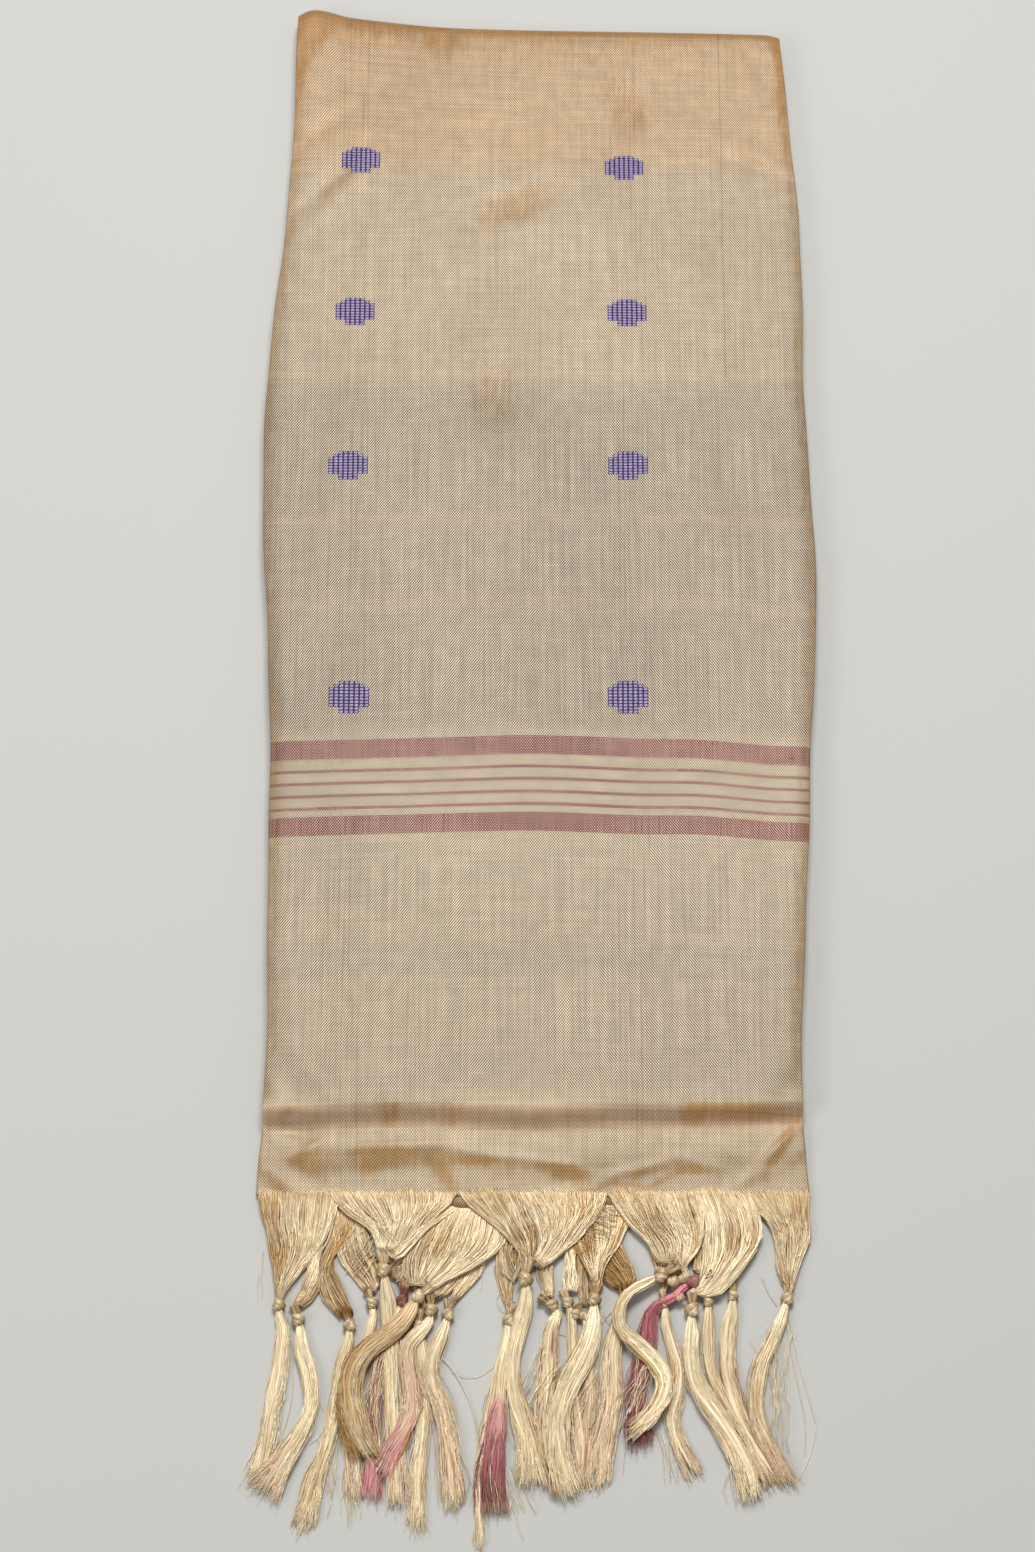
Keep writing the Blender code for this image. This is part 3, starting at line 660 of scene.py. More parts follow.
# Wisps lying over or under the locks, each spread about a middle
WISPS = (
    # across, drop, width, length, turn in degrees, yarns, height, tone, curl
    (-92, 30, 26, 34, -30, 14, 3.0, 0.1, 0.3),
    (-68, 35, 22, 32, -38, 34, 4.2, 0.35, 0.4),
    (-84, 20, 30, 24, 44, 8, 5.4, 0.1, 0.3),
    (32, 19, 30, 18, 70, 44, 3.4, 0.6, 0.5),
    (-13, 34, 10, 24, 8, 12, 3.8, 0.1, 0.6),
    (-87, 106, 12, 44, -20, 9, 4.6, 0.0, 0.3),
    (53, 104, 11, 40, -22, 16, 6.2, 0.0, 0.3),
    (0, 100, 16, 40, -30, 15, 3.8, 0.1, 0.3),
    (24, 118, 18, 50, -18, 14, 3.4, 0.1, 0.3),
    (-56, 110, 10, 44, 14, 20, 4.4, 0.1, 0.3),
    (128, 104, 10, 70, 4, 14, 3.2, 0.1, 0.2),
    (-108, 150, 8, 44, -4, 9, 1.4, 0.1, 0.2),
    (-97, 160, 8, 36, 2, 10, 1.2, 0.1, 0.15),
    (-14, 158, 16, 30, 16, 16, 1.4, 0.1, 0.2),
    (70, 140, 10, 30, 12, 10, 1.6, 0.1, 0.2),
)
WISP_POINTS = 18
WISP_LENGTHS = (0.45, 1.0)
WISP_TURNS = 0.16
# Single yarns that have come away, each through the places named
STRAYS = (
    # height, (across, drop) places
    (2.4, ((-56, 84), (-48, 90), (-39, 104), (-34, 119), (-32, 134), (-33, 152), (-36, 166))),
    (2.3, ((-55, 84), (-47, 92), (-39, 105), (-33.4, 119), (-31.4, 135), (-32, 152))),
    (2.0, ((-46, 95), (-38, 98), (-30, 97), (-22, 91))),
    (1.6, ((-52, 96), (-45, 108), (-42, 122), (-41, 138), (-36, 152), (-30, 166))),
    (1.2, ((-147, 30), (-147.6, 44), (-147.0, 55))),
    (1.3, ((-148.6, 42), (-149.6, 50), (-149.4, 58))),
    (1.4, ((-133, 66), (-130.4, 84), (-130, 110), (-134, 128))),
    (1.4, ((-122, 92), (-115, 112), (-112, 119), (-114, 128), (-120, 134))),
    (1.5, ((-146, 122), (-149, 138), (-151, 150))),
    (1.4, ((-104, 84), (-108, 100), (-109, 122), (-113, 132))),
    (2.2, ((133, 66), (138, 92), (144, 116), (145.6, 126), (141, 142), (135, 154))),
    (2.0, ((131, 66), (136, 98), (140, 124), (139, 140))),
    (1.4, ((119, 44), (123, 54), (127, 60))),
    (1.4, ((72, 124), (78, 138), (82, 152))),
    (1.3, ((46, 132), (44.6, 142), (44, 150))),
    (1.4, ((40, 62), (36, 66), (33, 72), (33, 78))),
    (1.5, ((34, 64), (38, 70), (42, 74))),
    (1.3, ((-14, 160), (-11, 176), (-8, 184))),
    (1.2, ((-31, 36), (-30.5, 46), (-30.6, 52))),
    (2.2, ((-18, 50), (-22, 56), (-20, 62), (-16, 64))),
    (2.2, ((-20, 46), (-17, 55), (-10, 58))),
    (1.4, ((8, 74), (16, 76), (20, 78))),
)
STRAY_POINTS = 26
STRAY_TONE = 0.1

# What all yarns share
YARN_RADIUS = 0.26
FINE_SHARE = 0.8
STRAY_SHARE = 0.75
YARN_UNLIKE = 0.16
YARN_LOWEST = 0.45
TIP_TAPER = 0.55
FIBRE_RUN = 0.10
FIBRE_SHIFT = 7.31
FIBRE_CYCLE = 53
FIBRE_TONE = 0.3
WANDERING = (
    # waves along the yarn, share
    (1.3, 1.0),
    (2.9, 0.5),
    (5.2, 0.22),
)

# Locks between the cloth and a knot: thick cores under fine yarns, the cores painted deeper as the shade
# inside the lock
CORE_EVERY = 5
CORE_RADIUS = 0.9
CORE_CLEARANCE = 0.05
CORE_SHADE_TONE = 0.25
LOCK_POINTS = 13
LOCK_WAVES = (
    # waves along, waves across, phase for each knot, size
    (7.5, 5, 1, 0.9),
    (17, 11, 2, 0.3),
)
LOCK_SCATTER = (0.35, 0.5)
LOCK_WANDERING = (0.38, 0.25)
LOCK_STRAYS = 0.08
LOCK_STRAY_SIZE = 1.8
CLUMP_YARNS = 11
CLUMP_PULL = 0.14
CLUMP_PULL_MOST = 0.4
LOCK_TONE_SHIFT = 0.08
LOCK_UNLIKE = 0.14
LOCK_TONES = 0.24
# Painted shade: the lower yarns of a lock deeper, and wavy patches deeper where the sheen is lost
LAYER_SHADE = 0.24
LOST_SHEEN_PATCH_TONE = 0.4
ROOT_TONE = 0.34
KNOT_ENTRY_TONE = 0.35
UNDER_ROOT_HEIGHT = 1.6
STOPS_TO_HEIGHT = 1.6
KNOT_ENTRY = (
    # distance above the knot, share of the width
    (9.5, 1.7),
    (4.4, 1.0),
    (1.8, 0.5),
)
ENTRY_HALF_WIDTH = 1.8
ENTRY_HALF_HEIGHT = 1.2

# Loose ends below a knot. The tables give shares of the way to the tips, then sizes in mm
TASSEL_POINTS = 18
TASSEL_THICKNESS = ((0, 0.08, 0.2, 0.7, 1), (2.6, 3.2, 4.0, 3.6, 2.6))
TASSEL_CORE_RADIUS = ((0, 0.12, 0.85, 1), (0.7, 1.1, 1.1, 0.5))
TASSEL_CORE_EVERY = 18
TASSEL_CORE_END = 0.955
TASSEL_CLUMP_YARNS = 15
TASSEL_STRAYS = 0.13
TASSEL_STRAY_SIZE = 2.4
PARTING_START = 0.12
CLUMP_DRIFT = 0.9
CLUMP_TONES = 0.27
TASSEL_UNLIKE = 0.11
# Painted light on a tassel: its cores and lower yarns deeper as shade, its sides deeper and its middle
# lighter, as on a rounded bundle
TASSEL_CORE_SHADE_TONE = 0.3
EDGE_SHADE_TONE = 0.42
MIDDLE_HIGHLIGHT_TONE = 0.16
LOW_SIDE_SHADE_TONE = 0.26
YARN_DRIFT = (0.42, 0.3, 0.3)
TAILS_IN_YARN = 8

# The cut edge's short ends
FRAYED = 300
FRAYED_INSET = 1.5
FRAYED_CLEAR = 9
FRAYED_TONE = 0.05
FRAYED_UNLIKE = 0.2
FRAYED_PLACES = (
    # drop, height above the hem
    (-2.2, 0.12),
    (0.2, 0.1),
    (2.6, -0.5),
)

# The three marks of a yarn, as parts of its attribute
DYE, DEPTH, TONE = 0, 1, 2

# The kinds of a node group's sockets, and the places of a Mix node's colour sockets
VALUE = "NodeSocketFloat"
VECTOR = "NodeSocketVector"
FIRST_COLOUR, SECOND_COLOUR, MIXED_COLOUR = 6, 7, 2
TINY = 1e-12

# The room and the view
FLOOR_REACH = 4.0
FLOOR_GAP = 0.0002
LIGHTS = (
    # name, place, target, size, power, colour
    ("window_light", (0.1, 0.95, 2.4), (0, 0, 0), (1.0, 0.8), 50, (1.0, 0.975, 0.93)),
    ("fill_light", (-1.5, -0.9, 1.6), (0, -0.1, 0), (1.0, 1.0), 10, (1.0, 0.96, 0.90)),
)
CAMERA_TARGET = (-0.0115, -0.0385, 0.0158)
CAMERA_DISTANCE = 2.0758
CAMERA_ELEVATION = 68
FOCAL_PIXELS = 3722
PHOTO_HEIGHT = 1552


def to_frame(across, along, height):
    """A place on the cloth, in millimetres, as a point of the frame."""
    return Vector((MIDDLE_X + across * MM, HEM_Y + along * MM, height * MM))


def between(rows, position, column=1):
    """Reads a table's column at a position of its first column, with smooth bends."""
    if position <= rows[0][0]:
        return rows[0][column]
    if position >= rows[-1][0]:
        return rows[-1][column]
    upper = next(i for i, row in enumerate(rows) if row[0] >= position)
    low, high = rows[upper - 1], rows[upper]
    before = rows[max(upper - 2, 0)]
    after = rows[min(upper + 1, len(rows) - 1)]
    span = high[0] - low[0]
    share = (position - low[0]) / span
    start = (high[column] - before[column]) / (high[0] - before[0]) * span
    end = (after[column] - low[column]) / (after[0] - low[0]) * span
    square, cube = share * share, share**3
    return (
        low[column] * (2 * cube - 3 * square + 1)
        + start * (cube - 2 * square + share)
        + high[column] * (3 * square - 2 * cube)
        + end * (cube - square)
    )


def rising(position, start, full):
    """Rises smoothly from 0 at the start to 1 where it is full, which may lie either way."""
    share = min(max((position - start) / (full - start), 0.0), 1.0)
    return share * share * (3 - 2 * share)


def wavering(waves, position, phase=1.0):
    """A sum of gentle waves at a position, in mm. Each takes its own share of the phase."""
    return sum(size * math.sin(position / length + share * phase) for size, length, share in waves)


def steps(start, end, pitch):
    """Even steps from start up to but not including end."""
    count = max(1, round((end - start) / pitch))
    return [start + (end - start) * i / count for i in range(count)]


def turned(across, along, middle, centre, turn):
    """How far a place lies along and beside a line through a middle, turned by degrees."""
    angle = math.radians(turn)
    off_across, off_along = across - middle, along - centre
    lengthwise = off_across * math.cos(angle) + off_along * math.sin(angle)
    sideways = off_along * math.cos(angle) - off_across * math.sin(angle)
    return lengthwise, sideways


# Node trees


def feed(tree, socket, value):
    """Links an output to a socket, or sets the socket's own value."""
    if isinstance(value, bpy.types.NodeSocket):
        tree.links.new(value, socket)
    else:
        socket.default_value = value


def maths(tree, operation, first, second=0.0, third=0.0, clamp=False):
    """One Math node's result."""
    made = tree.nodes.new("ShaderNodeMath")
    made.operation = operation
    made.use_clamp = clamp
    for socket, value in zip(made.inputs, (first, second, third)):
        feed(tree, socket, value)
    return made.outputs[0]


def times(tree, first, second):
    """Two values multiplied."""
    return maths(tree, "MULTIPLY", first, second)


def blended(tree, share, first, second, kind="MIX"):
    """Two colours mixed by a share."""
    made = tree.nodes.new("ShaderNodeMix")
    made.data_type = "RGBA"
    made.blend_type = kind
    feed(tree, made.inputs["Factor"], share)
    feed(tree, made.inputs[FIRST_COLOUR], first)
    feed(tree, made.inputs[SECOND_COLOUR], second)
    return made.outputs[MIXED_COLOUR]


def tinted(tree, colour, tint, share=1.0):
    """A colour multiplied by another, or by a lightness, as strongly as a share says."""
    return blended(tree, share, colour, tint, "MULTIPLY")


def rescaled(tree, value, low, high, new_low, new_high):
    """A value mapped from one range to another, kept inside it."""
    made = tree.nodes.new("ShaderNodeMapRange")
    feed(tree, made.inputs["Value"], value)
    for name, number in zip(("From Min", "From Max", "To Min", "To Max"),
                            (low, high, new_low, new_high)):
        feed(tree, made.inputs[name], number)
    return made.outputs["Result"]


def spread(tree, noise, low, high):
    """Noise, spread over the range from a low to a high value."""
    return rescaled(tree, noise, *NOISE_RANGE, low, high)


def streaks(tree, vector, scale, detail=2.0, offset=(0.0, 0.0, 0.0)):
    """Noise that is drawn out by a scale of its own in each direction."""
    mapping = tree.nodes.new("ShaderNodeMapping")
    mapping.inputs["Scale"].default_value = scale
    mapping.inputs["Location"].default_value = offset
    feed(tree, mapping.inputs["Vector"], vector)
    noise = tree.nodes.new("ShaderNodeTexNoise")
    noise.inputs["Scale"].default_value = 1.0
    noise.inputs["Detail"].default_value = detail
    feed(tree, noise.inputs["Vector"], mapping.outputs[0])
    return noise.outputs[0]


def split(tree, vector):
    """The three parts of a vector."""
    made = tree.nodes.new("ShaderNodeSeparateXYZ")
    feed(tree, made.inputs[0], vector)
    return made.outputs


def marked(tree, name, output):
    """What a piece's own attribute says."""
    made = tree.nodes.new("ShaderNodeAttribute")
    made.attribute_name = name
    return made.outputs[output]


def bumped(tree, shader, height, strength, depth):
    """Gives a shader a fine relief, whose depth is in mm."""
    bump = tree.nodes.new("ShaderNodeBump")
    bump.inputs["Strength"].default_value = strength
    bump.inputs["Distance"].default_value = depth * MM
    feed(tree, bump.inputs["Height"], height)
    feed(tree, shader.inputs["Normal"], bump.outputs[0])


def new_group(name, inputs, outputs):
    """An empty shader node group with named sockets. What it puts out are plain values."""
    group = bpy.data.node_groups.new(name, "ShaderNodeTree")
    for socket, kind in inputs.items():
        group.interface.new_socket(socket, in_out="INPUT", socket_type=kind)
    for socket in outputs:
        group.interface.new_socket(socket, in_out="OUTPUT", socket_type=VALUE)
    start = group.nodes.new("NodeGroupInput")
    end = group.nodes.new("NodeGroupOutput")
    return group, start.outputs, end.inputs


def use_group(tree, group, **inputs):
    """Places a node group in a material, sets its inputs by name and gives its outputs."""
    made = tree.nodes.new("ShaderNodeGroup")
    made.node_tree = group
    for name, value in inputs.items():
        feed(tree, made.inputs[name.replace("_", " ")], value)
    return made.outputs


def shader_of(name, **settings):
    """A new material and its Principled shader, with plain values set on its own sockets."""
    made = bpy.data.materials.new(name)
    made.use_nodes = True
    shader = made.node_tree.nodes["Principled BSDF"]
    for socket, value in settings.items():
        shader.inputs[socket.replace("_", " ")].default_value = value
    return made, made.node_tree, shader


# Effects that the cloths share


def plain_weave_group():
    """Over one, under one: which yarn lies on top, and how deep the gaps between yarns are."""
    group, given, wanted = new_group(
        "plain_weave",
        {"Weave": VECTOR, "Warp Pitch": VALUE, "Weft Pitch": VALUE, "Lean": VALUE, "Weft Cover": VALUE},
        ("Warp Over", "Height"),
    )
    across, along, _ = split(group, given["Weave"])
    ends = times(group, maths(group, "DIVIDE", across, given["Warp Pitch"]), math.pi)
    picks = times(group, maths(group, "DIVIDE", along, given["Weft Pitch"]), math.pi)
    one_way = maths(group, "COSINE", maths(group, "SUBTRACT", ends, picks))
    other_way = maths(group, "COSINE", maths(group, "ADD", ends, picks))
    rest = maths(group, "SUBTRACT", 1.0, given["Lean"])
    one_way = times(group, one_way, given["Lean"])
    crossing = maths(group, "SUBTRACT", one_way, times(group, other_way, rest))
    shown = maths(group, "SUBTRACT", crossing, given["Weft Cover"])
    over = maths(group, "MULTIPLY_ADD", shown, YARN_SHARPNESS, 0.5, clamp=True)
    feed(group, wanted["Warp Over"], over)
    feed(group, wanted["Height"], maths(group, "ABSOLUTE", crossing))
    return group


def slub_group():
    """Uneven handspun yarns: streaks along the warp and the weft, slubs, flecks and broad shading."""
    group, given, wanted = new_group("handloom_slubs", {"Weave": VECTOR}, [row[0] for row in SLUBS])
    for output, scale, detail, offset in SLUBS:
        noise = streaks(group, given["Weave"], scale, detail, offset)
        if output == "Weft Slub":
            noise = rescaled(group, noise, *SLUB_RANGE, 0.0, 1.0)
        feed(group, wanted[output], noise)
    return group


def pulled_warp_group():
    """Darker warp ends in line with a column of woven dots."""
    group, given, wanted = new_group("pulled_warps", {"Weave": VECTOR, "Across": VALUE}, ("Line",))
    off = maths(group, "SUBTRACT", split(group, given["Weave"])[0], given["Across"])
    dot_half = len(DOT_COLUMNS) / 2 * DOT_COLUMN * MM
    inside = maths(group, "LESS_THAN", maths(group, "ABSOLUTE", off), dot_half)
    wave = maths(group, "COSINE", times(group, off, math.pi / (DOT_COLUMN * MM)))
    line = maths(group, "POWER", maths(group, "ABSOLUTE", wave), PULLED_SHARPNESS)
    patchy = streaks(group, given["Weave"], (260, 16, 1), 2.0, (0, 5, 2))
    strength = rescaled(group, patchy, *PULLED_RANGE, 0.0, 1.0)
    feed(group, wanted["Line"], times(group, times(group, line, inside), strength))
    return group


def stripes_group():
    """One where the weft is maroon, nothing elsewhere."""
    group, given, wanted = new_group("maroon_stripes", {"Along": VALUE}, ("Maroon",))
    total = 0.0
    for middle, width in MAROON_STRIPES:
        off = maths(group, "ABSOLUTE", maths(group, "SUBTRACT", given["Along"], middle * MM))
        total = maths(group, "ADD", total, maths(group, "LESS_THAN", off, width / 2 * MM))
    feed(group, wanted["Maroon"], total)
    return group


PLAIN_WEAVE_GROUP = plain_weave_group()
SLUB_GROUP = slub_group()
PULLED_GROUP = pulled_warp_group()
STRIPES_GROUP = stripes_group()


# Materials


def weft_ramp(tree, along):
    """The weft's colour along the cloth, and how much more of the weft shows."""
    ramp = tree.nodes.new("ShaderNodeValToRGB")
    elements = ramp.color_ramp.elements
    elements.remove(elements[1])
    for start, colour, cover in WEFT_BANDS:
        element = elements.new(start / WEAVE_LENGTH) if start else elements[0]
        element.color = (*WEFT_COLOURS[colour], cover)
    share = maths(tree, "DIVIDE", along, WEAVE_LENGTH * MM, clamp=True)
    feed(tree, ramp.inputs[0], share)
    return ramp.outputs


def weave_lean(tree, weave, across, along):
    """Which diagonal the weave shows, from 0 for one to 1 for the other."""
    lean = maths(tree, "MULTIPLY_ADD", across, *LEAN_ACROSS)
    patchy = streaks(tree, weave, (38, 55, 1), 2.0, (5, 0, 0))
    lean = maths(tree, "ADD", lean, spread(tree, patchy, -LEAN_PATCHES, LEAN_PATCHES))
    lean = maths(tree, "SUBTRACT", lean, rescaled(tree, along, *LEAN_LOST_FAR))
    lean = maths(tree, "MAXIMUM", lean, LEAN_LIMITS[0])
    lean = maths(tree, "MINIMUM", lean, LEAN_LIMITS[1])
    near = rescaled(tree, along, *LEAN_GROWING_NEAR)
    return maths(tree, "MULTIPLY_ADD", maths(tree, "SUBTRACT", lean, 0.5), near, 0.5)


def with_pallu_marks(tree, weave, across, along, maroon, colour):
    """The marks that only the pallu has: lumps in the maroon picks, and darker warp ends."""
    lumps = rescaled(tree, streaks(tree, weave, (130, 420, 1), 1.0), *LUMP_RANGE, 0.0, LUMP_SHARE)
    colour = blended(tree, times(tree, lumps, maroon), colour, LUMP_COLOUR)
    for column in PULLED_COLUMNS:
        pulled = use_group(tree, PULLED_GROUP, Weave=weave, Across=column * MM)
        colour = blended(tree, times(tree, pulled["Line"], PULLED_SHARE), colour, PULLED_COLOUR)
    off = maths(tree, "ABSOLUTE", maths(tree, "SUBTRACT", across, DARK_END_ACROSS * MM))
    thin = maths(tree, "LESS_THAN", off, DARK_END_WIDTH / 2 * MM)
    far_enough = maths(tree, "GREATER_THAN", along, DARK_END_START * MM)
    share = times(tree, times(tree, thin, far_enough), PULLED_SHARE)
    return blended(tree, share, colour, DARK_END_COLOUR)


def woven_cloth(name, striped):
    """Cream warp over a browner weft, with the sheen of silk and banana fibre."""
    made, tree, shader = shader_of(
        name, Metallic=0.08, Specular_IOR_Level=0.32, Sheen_Weight=0.05, Sheen_Roughness=0.4,
        Sheen_Tint=(1.0, 0.96, 0.90, 1.0),
    )
    place = tree.nodes.new("ShaderNodeUVMap")
    place.uv_map = "weave"
    weave = place.outputs[0]
    across, along, _ = split(tree, weave)
    uneven = use_group(tree, SLUB_GROUP, Weave=weave)
    lean = weave_lean(tree, weave, across, along)
    weft, weft_cover = (*WEFT_COLOURS["plain"], 1.0), PLAIN_COVER
    if striped:
        weft, zone_cover = weft_ramp(tree, along)
        maroon = use_group(tree, STRIPES_GROUP, Along=along)["Maroon"]
        packed = rescaled(tree, uneven["Warp Streak"], *PACKED_MAROON)
        one_way = maths(tree, "ABSOLUTE", maths(tree, "MULTIPLY_ADD", lean, 2.0, -1.0))
        evened = maths(tree, "MULTIPLY_ADD", one_way, *COVER_BY_LEAN)
        zone_cover = times(tree, zone_cover, evened)
        weft_cover = maths(tree, "MULTIPLY_ADD", maroon, packed, zone_cover)
    crossing = use_group(
        tree, PLAIN_WEAVE_GROUP, Weave=weave, Warp_Pitch=WARP_PITCH * MM, Weft_Pitch=WEFT_PITCH * MM,
        Lean=lean, Weft_Cover=weft_cover,
    )

    weft = tinted(tree, weft, spread(tree, uneven["Weft Streak"], *WEFT_LIGHT))
    warp = tinted(tree, (*WARP_COLOUR, 1.0), spread(tree, uneven["Warp Streak"], *WARP_LIGHT))
    if striped:
        off = maths(tree, "ABSOLUTE", maths(tree, "SUBTRACT", across, MAROON_MIDDLE * MM))
        kept = rescaled(tree, off, *MAROON_FADING)
        weft = blended(tree, times(tree, maroon, kept), weft, (*MAROON, 1.0))
    colour = blended(tree, crossing["Warp Over"], weft, warp)
    # Painted shade in the gaps between the yarns
    colour = tinted(tree, colour, rescaled(tree, crossing["Height"], *GAP_SHADE))
    colour = tinted(tree, colour, spread(tree, uneven["Weft Streak"], *PICK_LIGHT))
    colour = tinted(tree, colour, spread(tree, uneven["Fleck"], *FLECK_LIGHT))
    colour = blended(tree, times(tree, uneven["Weft Slub"], SLUB_SHARE), colour, SLUB_COLOUR)
    if striped:
        colour = with_pallu_marks(tree, weave, across, along, maroon, colour)
    # Painted shade where the sheen is lost: the cloth is tinted deeper and more golden by its own
    # attribute, with ragged edges
    ragged = spread(tree, streaks(tree, weave, (420, 90, 1), 2.0, (9, 0, 0)), *LOST_SHEEN_SHADE_RAGGED)
    lost_sheen_shade = maths(tree, "ADD", marked(tree, "lost_sheen_shade", "Fac"), ragged)
    colour = tinted(tree, colour, LOST_SHEEN_SHADE_TINT, rescaled(tree, lost_sheen_shade, *LOST_SHEEN_SHADE_RANGE, 0.0, 1.0))
    colour = tinted(tree, colour, spread(tree, uneven["Cloud"], *CLOUD_LIGHT))
    feed(tree, shader.inputs["Base Color"], colour)

    feed(tree, shader.inputs["Roughness"], spread(tree, uneven["Warp Streak"], *CLOTH_ROUGHNESS))
    yarn_relief = times(tree, crossing["Height"], YARN_RELIEF)
    streak_relief = maths(tree, "ADD", uneven["Warp Streak"], uneven["Weft Streak"])
    height = maths(tree, "MULTIPLY_ADD", streak_relief, STREAK_RELIEF, yarn_relief)
    bumped(tree, shader, height, strength=0.45, depth=0.10)
    return made


def fringe_yarn():
    """Lustrous unspun warp ends. The yarn attribute holds the dye, its depth and the tone, and the tone
    carries painted shade and highlight as well as the yarns' own tone.
    """
    made, tree, shader = shader_of("fringe_yarn", Metallic=0.3, Roughness=0.36, Specular_IOR_Level=0.5)
    parts = tree.nodes.new("ShaderNodeSeparateColor")
    feed(tree, parts.inputs[0], marked(tree, "yarn", "Color"))
    dyed, depth, tone = parts.outputs
    fine = streaks(tree, marked(tree, "fibre", "Vector"), (1.7, 1.7, 1.0), 2.0)
    tone = maths(tree, "ADD", tone, spread(tree, fine, -FIBRE_TONE, FIBRE_TONE), clamp=True)
    colour = blended(tree, tone, YARN_LIGHT, YARN_DARK)
    dye = blended(tree, depth, PINK_DYE, MAROON_DYE)
    feed(tree, shader.inputs["Base Color"], blended(tree, dyed, colour, dye))
    bumped(tree, shader, fine, strength=0.6, depth=0.12)
    return made


def dot_yarn(name, scale, detail, dark_below, colours, **settings):
    """A yarn of the woven dots, uneven between a dark and a light colour."""
    made, tree, shader = shader_of(name, Metallic=0.0, **settings)
    place = tree.nodes.new("ShaderNodeTexCoord")
    uneven = streaks(tree, place.outputs["Object"], scale, detail)
    light = rescaled(tree, uneven, dark_below, NOISE_RANGE[1], 0.0, 1.0)
    feed(tree, shader.inputs["Base Color"], blended(tree, light, *colours))
    return made


PALLU_CLOTH = woven_cloth("pallu_cloth", striped=True)
FOLDED_CLOTH = woven_cloth("folded_cloth", striped=False)
FRINGE_YARN = fringe_yarn()
# The dots' extra weft, soft violet floats
VIOLET_FLOATS = dot_yarn(
    "violet_floats", (160, 2600, 1), 2.0, 0.3, VIOLET_COLOURS, Roughness=0.5, Sheen_Weight=0.25,
)
# The ground between a dot's floats, where the violet yarn dives into the cloth, painted near black to
# stand for the shade between the floats too
DARK_TIES_AND_SHADE = dot_yarn("dark_ties_and_shade", (900, 1500, 1), 1.0, 0.35, TIE_AND_SHADE_COLOURS, Roughness=0.75)
PLAIN_FLOOR, _, _ = shader_of("plain_floor", Roughness=0.85, Base_Color=(0.60, 0.612, 0.605, 1.0))


# Cloth


def finished(name, built, *finish):
    """Makes an object of a bmesh whose place is already in its points."""
    mesh = bpy.data.meshes.new(name)
    built.to_mesh(mesh)
    built.free()
    return placed(name, mesh, *finish)


def placed(name, mesh, *finish):
    """Puts a finished mesh in the scene, under its own name."""
    for material in finish:
        mesh.materials.append(material)
    made = bpy.data.objects.new(name, mesh)
    bpy.context.scene.collection.objects.link(made)
    return made


def woven_grid(columns, rows, place):
    """A grid of cloth. place(column, row) gives a point, and its place in the weave in mm."""
    built = bmesh.new()
    last_column, last_row = len(columns) - 1, len(rows) - 1
    bmesh.ops.create_grid(built, x_segments=last_column, y_segments=last_row, size=0.5)
    weave = {}
    for vert in built.verts:
        column = columns[round((vert.co.x + 0.5) * last_column)]
        row = rows[round((vert.co.y + 0.5) * last_row)]
        point, across, along = place(column, row)
        weave[vert] = (across * MM, along * MM)
        vert.co = point
    uv = built.loops.layers.uv.new("weave")
    for face in built.faces:
        face.smooth = True
        for loop in face.loops:
            loop[uv].uv = weave[loop.vert]
    return built


def as_ply(piece, lost_sheen_shade, offset):
    """Gives a sheet its thickness, and says where painted shade stands for its lost sheen."""
    layer = piece.data.attributes.new("lost_sheen_shade", "FLOAT", "POINT")
    layer.data.foreach_set("value", lost_sheen_shade.astype(np.float32))
    wall = piece.modifiers.new("ply", "SOLIDIFY")
    wall.thickness = CLOTH_THICKNESS * MM
    wall.offset = offset
    return piece


def relief(across, along):
    """The creases and swells of the top stretch, in mm above its plain form."""
    height = 0.0
    for middle, centre, length, turn, half_width, rise in CREASES:
        nearby = length + CREASE_MARGIN
        if abs(across - middle) > nearby or abs(along - centre) > nearby:
            continue
        lengthwise, sideways = turned(across, along, middle, centre, turn)
        height += rise * math.exp(-((lengthwise / (length / 2)) ** 2) - (sideways / half_width) ** 2)
    on_stack = rising(along, *SWELLS_FROM) * rising(along, *SWELLS_TO)
    for wave_across, wave_along, phase_across, phase_along, rise in SWELLS:
        height += (
            on_stack
            * rise
            * math.sin(across / wave_across * math.tau + phase_across)
            * math.sin(along / wave_along * math.tau + phase_along)
        )
    return height


def step_height(across, along):
    """The outer surface's height, with the step off the stack running a little unevenly."""
    drift = wavering(STEP_WAVES, across) - across * STEP_SLANT
    return between(STEP_DOWN, along + drift * rising(along, 70, 40) * rising(along, 0, 20))


def edge_at(side, along):
    """Where the strip's left or right edge lies, which wavers slightly."""
    waver = wavering(EDGE_WAVES, along, EDGE_PHASES[side])
    return between(OUTLINE, along, 1 if side < 0 else 2) + waver * rising(along, 0, 40)


def top_point(across, path, rise):
    """A point of the top stretch: path runs up from the cut edge and round the far fold."""
    fold_end = between(FAR_FOLD, across) - FOLD_RADIUS
    if path <= FOLD_START:
        shift = rising(path, FAR_SHIFT_START, FOLD_START) * (fold_end - FOLD_START)
        along = path + shift + wavering(HEM_WAVES, across) * max(0.0, 1 - path / HEM_REACH)
        return to_frame(across, along, step_height(across, path) + relief(across, path) + rise)
    turn = min((path - FOLD_START) / FOLD_RADIUS, math.pi)
    under = max(0.0, path - FOLD_START - FOLD_LENGTH)
    radius = FOLD_RADIUS + rise + relief(across, path) * rising(turn, 1, 0)
    return to_frame(
        across,
        fold_end + radius * math.sin(turn) - under,
        FOLD_RADIUS + radius * math.cos(turn),
    )


def weave_along(across, path):
    """Where a place lies in the weave: the weft bends a little on its way across."""
    return path - between(WEFT_BOW, across) * between(BOW_STRENGTH, path)


